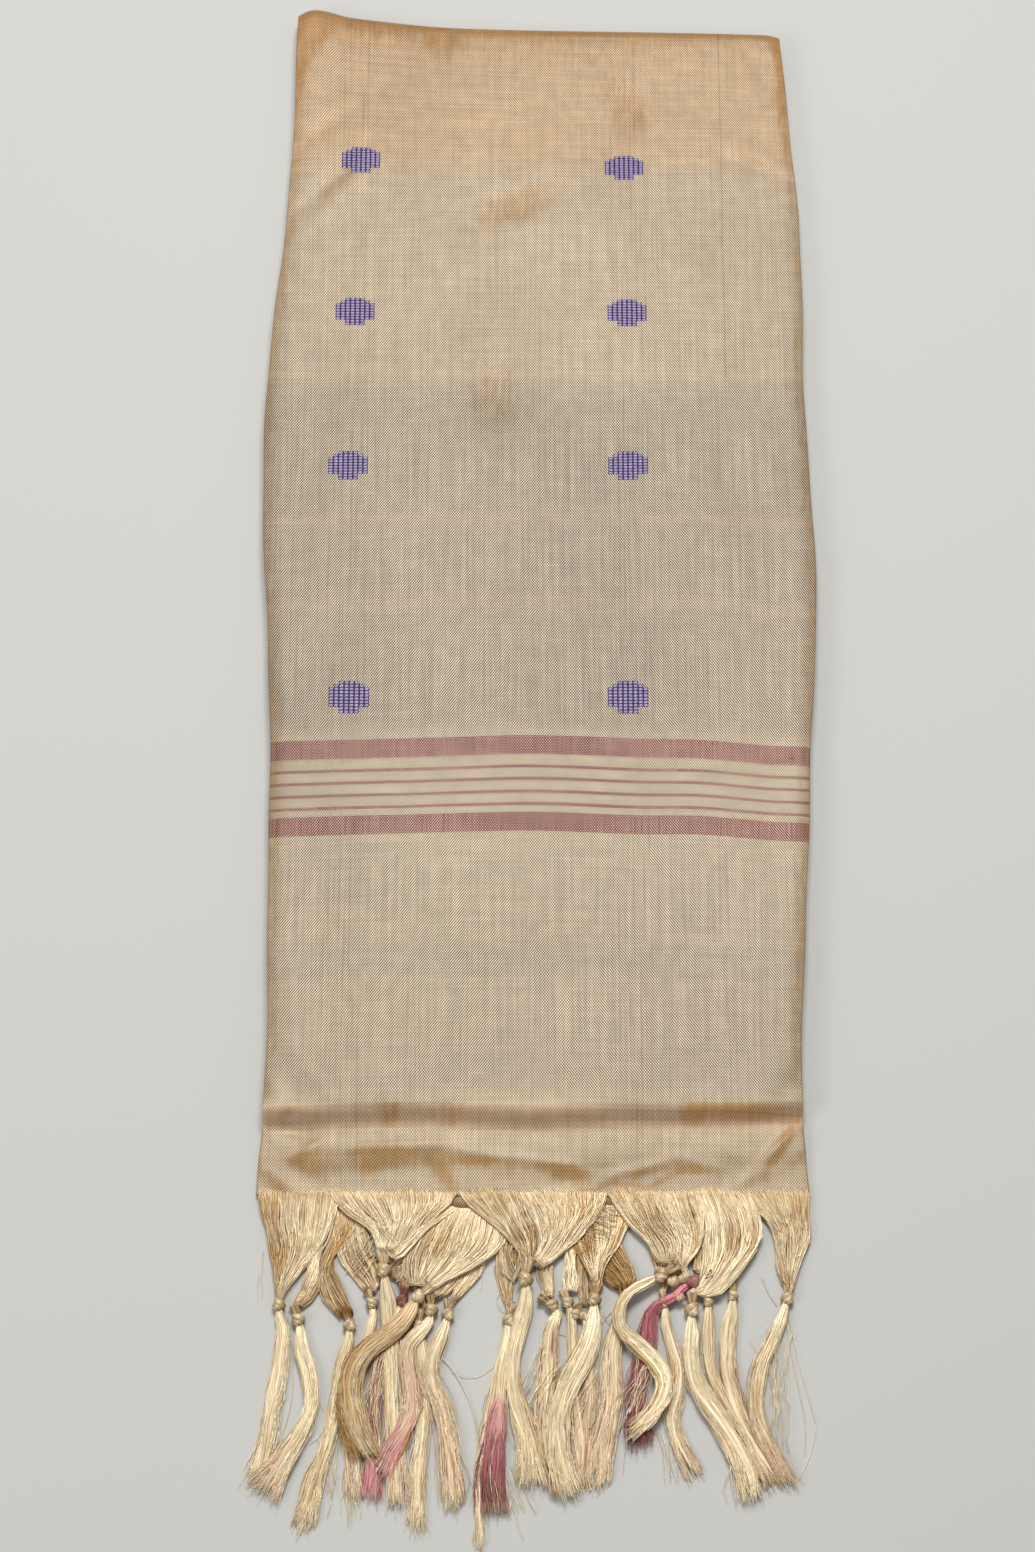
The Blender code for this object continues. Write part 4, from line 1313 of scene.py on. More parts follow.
def pallu_point(column, path):
    """A point of the pallu and its place in the weave. Columns past 1 roll under the long edges."""
    along = min(path, FOLD_START)
    left, right = edge_at(-1, along) + ROLL_RADIUS, edge_at(1, along) - ROLL_RADIUS
    middle, half = (left + right) / 2, (right - left) / 2
    level = max(-1.0, min(1.0, column))
    across = middle + half * level
    distance = half * (1 - abs(level))
    rise = -EDGE_DROOP * rising(along, 34, 54) * max(0.0, 1 - distance / EDGE_ROUND) ** 2
    past = abs(column) - 1
    woven = across
    if past > 0:
        side = math.copysign(1, column)
        turn = min(past, 1) * math.pi
        back = max(0.0, past - 1) * ROLL_RETURN
        across += side * (ROLL_RADIUS * math.sin(turn) - back)
        rise -= ROLL_RADIUS * (1 - math.cos(turn))
        woven += side * (ROLL_RADIUS * turn + back)
    return top_point(across, path, rise), woven, weave_along(across, path)


def lost_sheen_shade_at(mesh):
    """How much painted shade of lost sheen the pallu carries at each point: where it tilts, and in
    patches.
    """
    normals = np.empty(len(mesh.vertices) * 3, np.float32)
    mesh.vertex_normals.foreach_get("vector", normals)
    normals = normals.reshape(-1, 3)
    places = np.empty(len(mesh.vertices) * 3, np.float32)
    mesh.vertices.foreach_get("co", places)
    places = places.reshape(-1, 3)
    across, along = (places[:, 0] - MIDDLE_X) / MM, (places[:, 1] - HEM_Y) / MM
    tilt = np.hypot(normals[:, 0], normals[:, 1])
    lost = np.clip((tilt - TILT_LEAST) / TILT_SPAN, 0, 1) * TILT_SHARE
    on_step = np.exp(-((along - STEP_MIDDLE) / STEP_HALF) ** 4)
    lost = lost * (1 - STEP_KEEPS * on_step)
    for middle, centre, length, turn, half_width, strength in LOST_SHEEN_SHADE_PATCHES:
        lengthwise, sideways = turned(across, along, middle, centre, turn)
        reach = np.abs(lengthwise / (length / 2)) ** 3 + (sideways / half_width) ** 2
        lost = lost + strength * np.exp(-reach)
    return np.clip(lost, 0, 1)


def pallu_cloth():
    """The whole visible top, from the cut edge up over the stack and round the far fold."""
    top = [-1 + 2 * i / TOP_COLUMNS for i in range(TOP_COLUMNS + 1)]
    roll = [1 + i / ROLL_COLUMNS for i in range(1, ROLL_COLUMNS + 1)] + [PAST_ROLL]
    columns = [-c for c in reversed(roll)] + top + roll
    rows = [row for start, end, pitch in PALLU_ROWS for row in steps(start, end, pitch)]
    rows.append(PALLU_ROWS[-1][1])
    piece = finished("pallu_cloth", woven_grid(columns, rows, pallu_point), PALLU_CLOTH)
    return as_ply(piece, lost_sheen_shade_at(piece.data), offset=-1.0)


def under_plies():
    """The lower plies of the cut end, a little longer than the top one, with uneven edges."""
    built = bmesh.new()
    for end, height, inset, phase in LOWER_PLIES:
        rows = steps(PLY_DEPTH, 0, -3) + [0, end]
        columns = [-1 + 2 * i / PLY_COLUMNS for i in range(PLY_COLUMNS + 1)]

        def place(column, row):
            left, right = edge_at(-1, row) + inset, edge_at(1, row) - inset
            across = (left + right) / 2 + (right - left) / 2 * column
            near = rising(row, 8, -6)
            ragged = wavering(PLY_EDGE_WAVES, across, phase)
            lift = wavering(PLY_LIFT_WAVES, across, phase) * near
            longer = sum(math.exp(-((across - gap) / PLY_GAP_HALF) ** 4) for gap in PLY_GAPS)
            along = row + ragged * near - PLY_LONGER * longer * near
            return to_frame(across, along, height + lift), across, along

        ply = woven_grid(columns, rows, place)
        mesh = bpy.data.meshes.new("ply")
        ply.to_mesh(mesh)
        ply.free()
        built.from_mesh(mesh)
        bpy.data.meshes.remove(mesh)
    bmesh.ops.recalc_face_normals(built, faces=built.faces)
    piece = finished("under_plies", built, FOLDED_CLOTH)
    # The lower plies carry the painted shade of lost sheen all over
    return as_ply(piece, np.full(len(piece.data.vertices), PLY_LOST_SHEEN_SHADE), offset=0.0)


def folded_outline(height, inset, phase):
    """One level line round the folded lengths, from the near left corner on, in mm."""
    inner = FOLD_RADIUS - LENGTHS_INSIDE
    reach = -0.4
    if height >= LOWEST_CURVED:
        rise = min(abs(height - FOLD_RADIUS), inner)
        reach = math.sqrt(inner * inner - rise * rise)

    def side(which, along):
        return edge_at(which, along) - which * (inset + wavering(LENGTH_WAVES, along, phase))

    def far_end(across):
        return between(FAR_FOLD, across) - FOLD_RADIUS + reach - inset * 0.3

    def rounded(across, along, start):
        for i in range(5):
            angle = math.radians(start + 90 * i / 4)
            yield across + STACK_CORNER * math.cos(angle), along + STACK_CORNER * math.sin(angle)

    near = STACK_NEAR_END + inset
    near_left, near_right = side(-1, near), side(1, near)
    far_left, far_right = side(-1, FOLD_START), side(1, FOLD_START)
    far_line = [far_right + (far_left - far_right) * i / 16 for i in range(1, 16)]
    edge_line = steps(near + 10, FOLD_START - 8, 5.5)
    return [
        *rounded(near_left + STACK_CORNER, near + STACK_CORNER, 180),
        *((near_left + (near_right - near_left) * i / 12, near) for i in range(1, 12)),
        *rounded(near_right - STACK_CORNER, near + STACK_CORNER, 270),
        *((side(1, along), along) for along in edge_line),
        *rounded(far_right - STACK_CORNER, far_end(far_right) - STACK_CORNER, 0),
        *((across, far_end(across)) for across in far_line),
        *rounded(far_left + STACK_CORNER, far_end(far_left) - STACK_CORNER, 90),
        *((side(-1, along), along) for along in reversed(edge_line)),
    ]


def folded_levels():
    """The heights of the level lines round the folded lengths, how far in and how wavy each is."""
    chance = random.Random(SEED)
    levels = []
    height = 0.0
    roll_height = LENGTH_HEIGHT / ROLLS_PER_LENGTH
    for roll in range(LENGTHS * ROLLS_PER_LENGTH):
        first = roll % ROLLS_PER_LENGTH == 0
        inset = 1.0 + 1.6 * chance.random() + (0.0 if first else 0.5)
        phase = chance.uniform(0, math.tau)
        for share, sunk in ((0.0, 1.0 if first else 0.55), (0.18, 0.3), (0.5, 0.0), (0.82, 0.3)):
            levels.append((height + share * roll_height, inset + sunk, phase))
        height += roll_height
    levels.append((height, 3.0, 0.0))
    return levels


def folded_lengths():
    """The hidden lengths: at their edges each shows as two soft rolled folds."""
    levels = folded_levels()
    outlines = [folded_outline(*level) for level in levels]
    count = len(outlines[0])
    distances = [0.0]
    for i, corner in enumerate(outlines[0]):
        distances.append(distances[-1] + math.dist(corner, outlines[0][(i + 1) % count]))

    def place(column, row):
        across, along = outlines[row][column % count]
        level = levels[row][0]
        return to_frame(across, along, level), level * 1.6, distances[column]

    built = woven_grid(range(count + 1), range(len(levels)), place)
    bmesh.ops.remove_doubles(built, verts=built.verts, dist=0.01 * MM)
    open_edges = [edge for edge in built.edges if edge.is_boundary]
    bmesh.ops.holes_fill(built, edges=open_edges)
    bmesh.ops.triangulate(built, faces=[face for face in built.faces if len(face.verts) > 4])
    bmesh.ops.recalc_face_normals(built, faces=built.faces)
    return finished("folded_lengths", built, FOLDED_CLOTH)


def dot_ground(built, across, along, pitch):
    """The dark ground under one float: the ties, with painted shade between the floats."""
    patch = bmesh.ops.create_grid(built, x_segments=1, y_segments=1, size=0.5)["verts"]
    for vert in patch:
        vert.co = top_point(across + vert.co.x * DOT_COLUMN, along + vert.co.y * pitch, GROUND_RISE)
    for face in {face for vert in patch for face in vert.link_faces}:
        face.material_index = 1


def dot_float(built, across, along, pitch, slant):
    """One violet float, domed and a little slanting."""
    patch = bmesh.ops.create_grid(built, x_segments=4, y_segments=4, size=0.5)["verts"]
    for vert in patch:
        x, y = vert.co.x * DOT_COLUMN * FLOAT_SHARE[0], vert.co.y * pitch * FLOAT_SHARE[1]
        across_share, along_share = min(1.0, 2 * abs(vert.co.x)), min(1.0, 2 * abs(vert.co.y))
        dome = (1 - across_share**4) * (1 - along_share**2) * (1 - FLOAT_RIM) + FLOAT_RIM
        vert.co = top_point(across + x, along + y + slant * x, FLOAT_RISE * dome)
    for face in {face for vert in patch for face in vert.link_faces}:
        face.smooth = True


def woven_dots():
    """Rows of violet floats over a dark ground, on the top stretch."""
    built = bmesh.new()
    middle_column = (len(DOT_COLUMNS) - 1) / 2
    middle_row = (DOT_ROWS - 1) / 2
    chance = random.Random(SEED)
    for dot_across, dot_along, dot_length in DOTS:
        pitch = dot_length / DOT_ROWS
        for column, (lowest, highest) in enumerate(DOT_COLUMNS):
            across = dot_across + (column - middle_column) * DOT_COLUMN
            for row in range(lowest, highest + 1):
                along = dot_along + (row - middle_row) * pitch
                slant = chance.uniform(-FLOAT_SLANT, FLOAT_SLANT)
                dot_ground(built, across, along, pitch)
                dot_float(built, across, along, pitch, slant)
    return finished("woven_dots", built, VIOLET_FLOATS, DARK_TIES_AND_SHADE)


# Yarns


def flowing(points, shares):
    """Smooth curves through rows of points, read at shares of their length."""
    points = np.asarray(points, float)
    gaps = np.linalg.norm(np.diff(points, axis=-2), axis=-1)
    gaps = gaps.reshape(-1, gaps.shape[-1]).mean(axis=0)
    places = np.concatenate([[0.0], np.cumsum(gaps)])
    places /= places[-1]
    slopes = np.empty_like(points)
    spans = (places[2:] - places[:-2])[:, None]
    slopes[..., 1:-1, :] = (points[..., 2:, :] - points[..., :-2, :]) / spans
    slopes[..., 0, :] = (points[..., 1, :] - points[..., 0, :]) / places[1]
    slopes[..., -1, :] = (points[..., -1, :] - points[..., -2, :]) / (1 - places[-2])
    index = np.clip(np.searchsorted(places, shares, side="right") - 1, 0, len(places) - 2)
    span = places[index + 1] - places[index]
    t = ((shares - places[index]) / span)[:, None]
    span = span[:, None]
    start, end = points[..., index, :], points[..., index + 1, :]
    leave, arrive = slopes[..., index, :] * span, slopes[..., index + 1, :] * span
    return (
        start * (2 * t**3 - 3 * t**2 + 1)
        + leave * (t**3 - 2 * t**2 + t)
        + end * (3 * t**2 - 2 * t**3)
        + arrive * (t**3 - t**2)
    )


def directions(lines):
    """Unit directions along lines of points, and two directions square to them."""
    ahead = np.gradient(lines, axis=-2)
    ahead /= np.linalg.norm(ahead, axis=-1, keepdims=True) + TINY
    side = np.empty_like(ahead)
    start = np.cross(ahead[..., 0, :], np.array([0.05, 0.02, 1.0]))
    side[..., 0, :] = start / (np.linalg.norm(start, axis=-1, keepdims=True) + TINY)
    for i in range(1, lines.shape[-2]):
        carried = side[..., i - 1, :]
        lean = (carried * ahead[..., i, :]).sum(axis=-1, keepdims=True)
        carried = carried - ahead[..., i, :] * lean
        side[..., i, :] = carried / (np.linalg.norm(carried, axis=-1, keepdims=True) + TINY)
    return ahead, side, np.cross(ahead, side)


class Yarns:
    """Yarns gathered up to be made into one mesh: their lines, radii and marks."""

    def __init__(self):
        self.points = []
        self.fibres = []
        self.marks = []
        self.faces = []
        self.count = 0

    def add(self, lines, radius, marks, sides=3):
        """Adds yarns by their lines in mm, each with one radius or one for each of its points."""
        yarns, length, _ = lines.shape
        _, side, up = directions(lines)
        taper = np.ones(length)
        taper[-1] = TIP_TAPER
        radius = radius.reshape(yarns, -1) * taper
        gaps = np.linalg.norm(np.diff(lines, axis=1), axis=2)
        run = np.concatenate([np.zeros((yarns, 1)), np.cumsum(gaps, axis=1)], axis=1)
        run = run * FIBRE_RUN + (np.arange(yarns) * FIBRE_SHIFT % FIBRE_CYCLE)[:, None]
        wide = radius / YARN_RADIUS
        rings, fibres = [], []
        for k in range(sides):
            angle = math.tau * k / sides
            offset = side * math.cos(angle) + up * math.sin(angle)
            rings.append(lines + offset * radius[..., None])
            fibres.append(np.stack([wide * math.cos(angle), wide * math.sin(angle), run], axis=-1))
        self.points.append(np.stack(rings, axis=2).reshape(-1, 3))
        self.fibres.append(np.stack(fibres, axis=2).reshape(-1, 3))
        self.marks.append(np.repeat(marks[:, :, None, :], sides, axis=2).reshape(-1, 3))
        first = self.count + np.arange(yarns)[:, None, None] * length * sides
        low = first + np.arange(length - 1)[None, :, None] * sides
        high = low + sides
        k = np.arange(sides)[None, None, :]
        after = (k + 1) % sides
        self.faces.append(np.stack([low + k, low + after, high + after, high + k], -1).reshape(-1, 4))
        self.count += yarns * length * sides

    def add_lock(self, lines, radius, marks, core, core_sides):
        """Adds a lock, first its thick cores and then its fine yarns."""
        self.add(lines[core], radius[core], marks[core], sides=core_sides)
        self.add(lines[~core], radius[~core], marks[~core])

    def mesh(self, name):
        """One joined mesh, with the marks as the yarn attribute."""
        made = bpy.data.meshes.new(name)
        points = np.concatenate(self.points) * np.array([MM, -MM, MM]) + np.array([MIDDLE_X, HEM_Y, 0.0])
        faces = np.concatenate(self.faces)[:, ::-1]
        made.vertices.add(len(points))
        made.vertices.foreach_set("co", points.astype(np.float32).ravel())
        made.loops.add(faces.size)
        made.loops.foreach_set("vertex_index", faces.astype(np.int32).ravel())
        made.polygons.add(len(faces))
        made.polygons.foreach_set("loop_start", np.arange(0, faces.size, 4, dtype=np.int32))
        made.polygons.foreach_set("use_smooth", np.ones(len(faces), bool))
        made.update(calc_edges=True)
        marks = np.concatenate(self.marks)
        colours = np.concatenate([marks, np.ones((len(marks), 1))], axis=1)
        layer = made.attributes.new("yarn", "FLOAT_COLOR", "POINT")
        layer.data.foreach_set("color", colours.astype(np.float32).ravel())
        fibre = made.attributes.new("fibre", "FLOAT_VECTOR", "POINT")
        fibre.data.foreach_set("vector", np.concatenate(self.fibres).astype(np.float32).ravel())
        made.validate()
        return made


def disc(chance, count):
    """Points spread over a unit disc."""
    turn = chance.uniform(0, math.tau, count)
    reach = np.sqrt(chance.uniform(0, 1, count))
    return reach * np.cos(turn), reach * np.sin(turn)


def waviness(chance, yarns, shares, size):
    """Slow sideways wandering of each yarn, in mm, which grows along it."""
    total = np.zeros((yarns, len(shares)))
    for turns, share in WANDERING:
        phase = chance.uniform(0, math.tau, yarns)[:, None]
        total += share * np.sin(shares[None, :] * math.tau * turns + phase)
    return total * size * chance.uniform(0.4, 1.2, yarns)[:, None]


def knot_axis(knot):
    """A knot's middle, the directions down along it and sideways, with drop as y, and its size."""
    across, drop, height, turn, size = KNOTS[knot]
    angle = math.radians(turn)
    down = np.array([math.sin(angle), math.cos(angle), 0.0])
    sideways = np.array([math.cos(angle), -math.sin(angle), 0.0])
    return np.array([across, drop, height]), down, sideways, size


def above_floor(lines):
    """Lifts what would lie in the floor."""
    lines[:, :, 2] = np.maximum(lines[:, :, 2], YARN_LOWEST)


def tone_marks(chance, tone, lines, unlike=YARN_UNLIKE):
    """Marks for undyed yarns, each a little lighter or more golden than the next."""
    yarns, length, _ = lines.shape
    marks = np.zeros((yarns, length, 3))
    own = tone + chance.normal(0, unlike, yarns)[:, None]
    drift = waviness(chance, yarns, np.linspace(0, 1, length), 0.06)
    marks[:, :, TONE] = np.clip(own + drift, 0.0, 1.0)
    return marks


def clumped(chance, order, clumps):
    """The middles of the small locks that neighbours draw together into, and each yarn's lock."""
    edges = np.sort(chance.uniform(0, 1, clumps - 1))
    which = np.searchsorted(edges, order)
    middles = np.array([order[which == i].mean() if (which == i).any() else 0.5 for i in range(clumps)])
    return middles[which], which


def lock_places(chance, left, right, height, order, pulled, core, layer):
    """The places that a lock's yarns pass between its two edges, from the cloth on."""
    count = len(order)
    on_top = left[0, 1] < 0
    root_height = HEM_HEIGHT - 0.1 if on_top else UNDER_ROOT_HEIGHT
    points = np.zeros((count, len(left), 3))
    for i in range(len(left)):
        place = order + (pulled - order) * min(CLUMP_PULL_MOST, CLUMP_PULL * i)
        points[:, i, :2] = left[i] + (right[i] - left[i]) * place[:, None]
        if i:
            for axis, size in enumerate(LOCK_SCATTER):
                points[:, i, axis] += chance.normal(0, size, count)
        share = min(1.0, i / STOPS_TO_HEIGHT)
        points[:, i, 2] = root_height + (height - root_height) * share + layer * share
        if on_top and i == 0:
            uneven = 1.0 + np.sin(points[:, 0, 0] / 6.5) + chance.uniform(-0.6, 1.4, count)
            points[:, 0, 1] -= np.where(core, 0.0, uneven)
        if on_top and i < 2:
            lift = np.array([relief(x, max(-y, 0.0)) for x, y in points[:, i, :2]])
            points[:, i, 2] += lift * (1.0 if i == 0 else 0.4)
    return points


def into_knot(chance, knot, order, layer):
    """The places where a lock's yarns draw together just above its knot."""
    centre, down, sideways, size = knot_axis(knot)
    beside = (order * 2 - 1) * 0.8 + chance.normal(0, 0.18, len(order))
    width = sideways * ENTRY_HALF_WIDTH * size
    up = np.array([0, 0, ENTRY_HALF_HEIGHT]) * size
    places = [
        centre - down * (back * size) + beside[:, None] * width * wide + layer[:, None] * up * wide
        for back, wide in KNOT_ENTRY
    ]
    return np.stack(places, axis=1)


def lock_marks(chance, row, lines, shares, free, which, core, layer):
    """The tones of a lock's yarns: each small lock its own, painted shade on its lower yarns and cores,
    wavy patches of painted lost sheen, and deeper near the knot.
    """
    knot, left, _, _, _, tone = row
    marks = tone_marks(chance, tone + LOCK_TONE_SHIFT, lines, LOCK_UNLIKE)
    # Each small lock's own tone, with painted shade on the lower yarns and the cores
    lock_tone = chance.normal(0, LOCK_TONES, which.max() + 1)[which] - layer * LAYER_SHADE
    lock_tone[core] = CORE_SHADE_TONE
    nearing = np.clip((shares - 0.7) / 0.28, 0, 1)
    across, drop = lines[:, :, 0], lines[:, :, 1]
    # Wavy patches of painted shade where the sheen is lost
    lost_sheen_patch = np.sin(across / 8 + drop / 19 + knot)
    lost_sheen_patch *= np.sin(drop / 8.5 + 0.7 * knot)
    marks[:, :, TONE] += lock_tone[:, None] * free[None, :] + KNOT_ENTRY_TONE * nearing
    marks[:, :, TONE] += LOST_SHEEN_PATCH_TONE * np.clip(lost_sheen_patch, -0.25, 1) * free[None, :]
    if left[0][1] < 0:
        marks[:, :, TONE] += ROOT_TONE * np.clip(1 - shares / 0.15, 0, 1)
    marks[:, :, TONE] = np.clip(marks[:, :, TONE], 0, 1)
    if knot in DYED_KNOTS:
        strength, depth = DYED_KNOTS[knot]
        marks[:, :, DYE] = strength * np.clip((shares - 0.8) / 0.12, 0, 1)
        marks[:, :, DEPTH] = depth
    return marks


def gathered(chance, row, into):
    """A lock of yarns between the cloth and a knot, combed along the way that it sweeps."""
    knot, left, right, count, height, _ = row
    left, right = np.array(left, float), np.array(right, float)
    cores = max(3, count // CORE_EVERY)
    order = np.concatenate([
        np.linspace(0.02, 0.98, cores),
        np.clip(np.linspace(0, 1, count) + chance.normal(0, 0.01, count), 0, 1),
    ])
    count += cores
    core = np.arange(count) < cores
    pulled, which = clumped(chance, order, max(4, count // CLUMP_YARNS))
    pulled[core] = order[core]
    layer = chance.uniform(-1, 1, count)
    layer[core] = -0.5
    places = lock_places(chance, left, right, height, order, pulled, core, layer)
    shares = np.linspace(0, 1, LOCK_POINTS)
    lines = flowing(np.concatenate([places, into_knot(chance, knot, order, layer)], axis=1), shares)
    free = np.sin(shares * math.pi) ** 0.8
    together = sum(
        size * np.sin(shares[None, :] * along + order[:, None] * across + phase * knot)
        for along, across, phase, size in LOCK_WAVES
    )
    lines[:, :, 0] += (waviness(chance, count, shares, LOCK_WANDERING[0]) + together) * free
    lines[:, :, 2] += waviness(chance, count, shares, LOCK_WANDERING[1]) * free
    astray = (chance.uniform(0, 1, count) < LOCK_STRAYS) & ~core
    lines[astray, :, 0] += waviness(chance, int(astray.sum()), shares, LOCK_STRAY_SIZE) * free
    above_floor(lines)
    radius = (YARN_RADIUS * chance.uniform(0.8, 1.15, count))[:, None] * np.ones(LOCK_POINTS)
    spacing = np.linalg.norm(right[0] - left[0]) / cores
    radius[core] = np.interp(shares, (0, 0.5, 1), (0.62 * spacing, 0.42 * spacing, 0.5))
    lines[core, :, 2] -= np.minimum(radius[core], 0.8) * 0.6
    radius[core] = np.minimum(radius[core], CORE_RADIUS)
    lines[core, :, 2] = np.maximum(lines[core, :, 2], radius[core] + CORE_CLEARANCE)
    marks = lock_marks(chance, row, lines, shares, free, which, core, layer)
    into.add_lock(lines, radius, marks, core, core_sides=5)


def knotted(chance, knot, into):
    """One overhand knot, a rope of yarns that turns round itself."""
    centre, down, sideways, size = knot_axis(knot)
    up = np.array([0.0, 0.0, 1.0])
    handed = 1 if knot % 3 else -1
    turn = np.linspace(-0.55 * math.pi, 2.05 * math.pi, 40)
    run = np.linspace(0, 1, 40)
    drawn_in = np.clip(np.minimum(run, 1 - run) / 0.12, 0, 1) ** 0.7
    reach = KNOT_REACH * (0.35 + 0.65 * drawn_in)
    route = np.stack([
        KNOT_LENGTH * (run - 0.5) + 0.5 * np.sin(turn),
        reach * np.sin(turn),
        reach * np.cos(turn) * 0.92 + 0.2,
    ], axis=1) * size
    path = flowing(route, np.linspace(0, 1, KNOT_POINTS))
    _, side, over = directions(path)
    lines = np.zeros((KNOT_STRANDS, KNOT_POINTS, 3))
    for i in range(KNOT_STRANDS):
        angle = math.tau * i / KNOT_STRANDS + np.linspace(0, KNOT_TWIST, KNOT_POINTS)
        radius = KNOT_ROPE * size * (1 + 0.06 * math.sin(i * 2.4))
        local = path + radius * (side * np.cos(angle)[:, None] + over * np.sin(angle)[:, None])
        lines[i] = centre + local[:, :1] * down + local[:, 1:2] * handed * sideways + local[:, 2:] * up
    above_floor(lines)
    marks = tone_marks(chance, KNOT_SHADE_TONE, lines)
    # Painted highlight and shade: higher strands lighter, lower ones deeper
    rise = (lines[:, :, 2] - centre[2]) / (KNOT_REACH + KNOT_ROPE) / size
    tone = marks[:, :, TONE] + chance.normal(0, 0.1, KNOT_STRANDS)[:, None] - KNOT_TOP_LIGHT * rise
    marks[:, :, TONE] = np.clip(tone, 0, 1)
    if knot in DYED_KNOTS:
        marks[:, :, DYE], marks[:, :, DEPTH] = DYED_KNOTS[knot]
    into.add(lines, np.full(KNOT_STRANDS, STRAND_RADIUS * size), marks)


def tassel_route(knot, places, tip_width, height, shares):
    """A tassel's middle line below its knot, its width, and the directions beside and over it."""
    centre, down, _, size = knot_axis(knot)
    route = [(*(centre + down * size), 2.6), (*(centre + down * (3.6 * size)), 4.0)]
    for i, (across, drop, width) in enumerate(places):
        route.append((across, drop, height if i else (height + centre[2]) / 2, width))
    route = np.array(route)
    route[-1, 3] = tip_width
    middle = flowing(route[:, :3], shares)
    gaps = np.linalg.norm(np.diff(route[:, :3], axis=0), axis=1)
    reached = np.concatenate([[0.0], np.cumsum(gaps)]) / gaps.sum()
    width = np.interp(shares, reached, route[:, 3])
    ahead, _, _ = directions(middle)
    over = np.array([0, 0, 1.0]) - ahead * ahead[:, 2:]
    over /= np.linalg.norm(over, axis=-1, keepdims=True)
    return middle, width, np.cross(ahead, over), over


def loose_ends(chance, row, into):
    """The yarns below a knot, which part into a few locks and are cut off about straight."""
    knot, places, tip_width, count, height, tone, dye = row
    shares = np.linspace(0, 1, TASSEL_POINTS)
    middle, width, side, over = tassel_route(knot, places, tip_width, height, shares)
    cores = max(4, count // TASSEL_CORE_EVERY)
    count += cores
    core = np.arange(count) < cores
    a, b = disc(chance, count)
    clumps = max(5, round(count / TASSEL_CLUMP_YARNS))
    clump = chance.integers(0, clumps, count)
    clump_a, clump_b = disc(chance, clumps)
    own_a, own_b = disc(chance, count)
    parting = np.clip((shares - PARTING_START) / (1 - PARTING_START), 0, 1)[None, :]
    a = a[:, None] * (1 - parting) + (clump_a[clump] + own_a * 0.26)[:, None] * parting
    b = b[:, None] * (1 - parting) + (clump_b[clump] * 0.8 + own_b * 0.4)[:, None] * parting
    a[core] *= 0.72
    b[core] *= 0.5
    thickness = np.interp(shares, *TASSEL_THICKNESS)
    uneven = 1 + waviness(chance, count, shares, 0.05)
    lines = (
        middle[None]
        + (a * uneven * width / 2)[..., None] * side[None]
        + (b * thickness / 2)[..., None] * over[None]
    )
    growing = np.clip(shares[None, :] * 1.6, 0, 1)
    lines[:, :, 0] += waviness(chance, clumps, shares, CLUMP_DRIFT)[clump] * growing
    for axis, size in enumerate(YARN_DRIFT):
        lines[:, :, axis] += waviness(chance, count, shares, size) * growing
    astray = (chance.uniform(0, 1, count) < TASSEL_STRAYS) & ~core
    lines[astray, :, 0] += waviness(chance, int(astray.sum()), shares, TASSEL_STRAY_SIZE) * growing
    reach = 1 + chance.normal(0, 0.013, count) + chance.normal(0, 0.016, clumps)[clump]
    reach[chance.uniform(0, 1, count) < 0.07] += 0.05
    reach[core] = TASSEL_CORE_END
    lines = stretched(lines, shares, reach)
    above_floor(lines)
    marks = tone_marks(chance, tone, lines, TASSEL_UNLIKE)
    lock_tone = chance.normal(0, CLUMP_TONES, clumps)[clump][:, None] * (0.3 + 0.7 * parting)
    # Painted shade and highlight: sides and lower yarns deeper, the middle lighter, the cores deeper
    rounded = EDGE_SHADE_TONE * np.clip(np.abs(a), 0, 1.1) ** 2 - MIDDLE_HIGHLIGHT_TONE
    shaded = marks[:, :, TONE] + lock_tone - b * LOW_SIDE_SHADE_TONE + rounded + TASSEL_CORE_SHADE_TONE * core[:, None]
    marks[:, :, TONE] = np.clip(shaded, 0, 1)
    dyed_with(chance, dye, count, shares, marks)
    radius = (YARN_RADIUS * chance.uniform(0.82, 1.18, count))[:, None] * np.ones(TASSEL_POINTS)
    radius[core] = np.interp(shares, *TASSEL_CORE_RADIUS)
    lines[core, :, 2] = np.maximum(lines[core, :, 2], radius[core] + CORE_CLEARANCE)
    into.add_lock(lines, radius, marks, core, core_sides=6)


def stretched(lines, shares, reach):
    """Ends each yarn a little sooner or later along its own line."""
    made = np.empty_like(lines)
    for i, own in enumerate(reach):
        target = np.clip(shares * min(own, 1.0), 0, 1)
        for axis in range(3):
            made[i, :, axis] = np.interp(target, shares, lines[i, :, axis])
        if own > 1:
            tail = lines[i, -1] - lines[i, -3]
            made[i, -1] += tail * (own - 1) * TAILS_IN_YARN
    return made


def dyed_with(chance, dye, count, shares, marks):
    """Sets the dye of those of a tassel's yarns that were dyed."""
    for start, end, strength, depth_start, depth_end, part in DYES[dye]:
        chosen = chance.uniform(0, 1, count) < part
        shift = chance.normal(0, 0.02, count)[:, None]
        inside = np.clip((shares[None] + shift - start) / 0.06, 0, 1)
        inside = inside * np.clip((end - shares[None]) / 0.03, 0, 1)
        depth = np.interp(shares, (start, end), (depth_start, depth_end))
        own = strength * chance.uniform(0.75, 1.0, count)[:, None] * inside
        stronger = chosen[:, None] & (own > marks[:, :, DYE])
        marks[:, :, DYE] = np.where(stronger, own, marks[:, :, DYE])
        marks[:, :, DEPTH] = np.where(stronger, depth[None, :], marks[:, :, DEPTH])


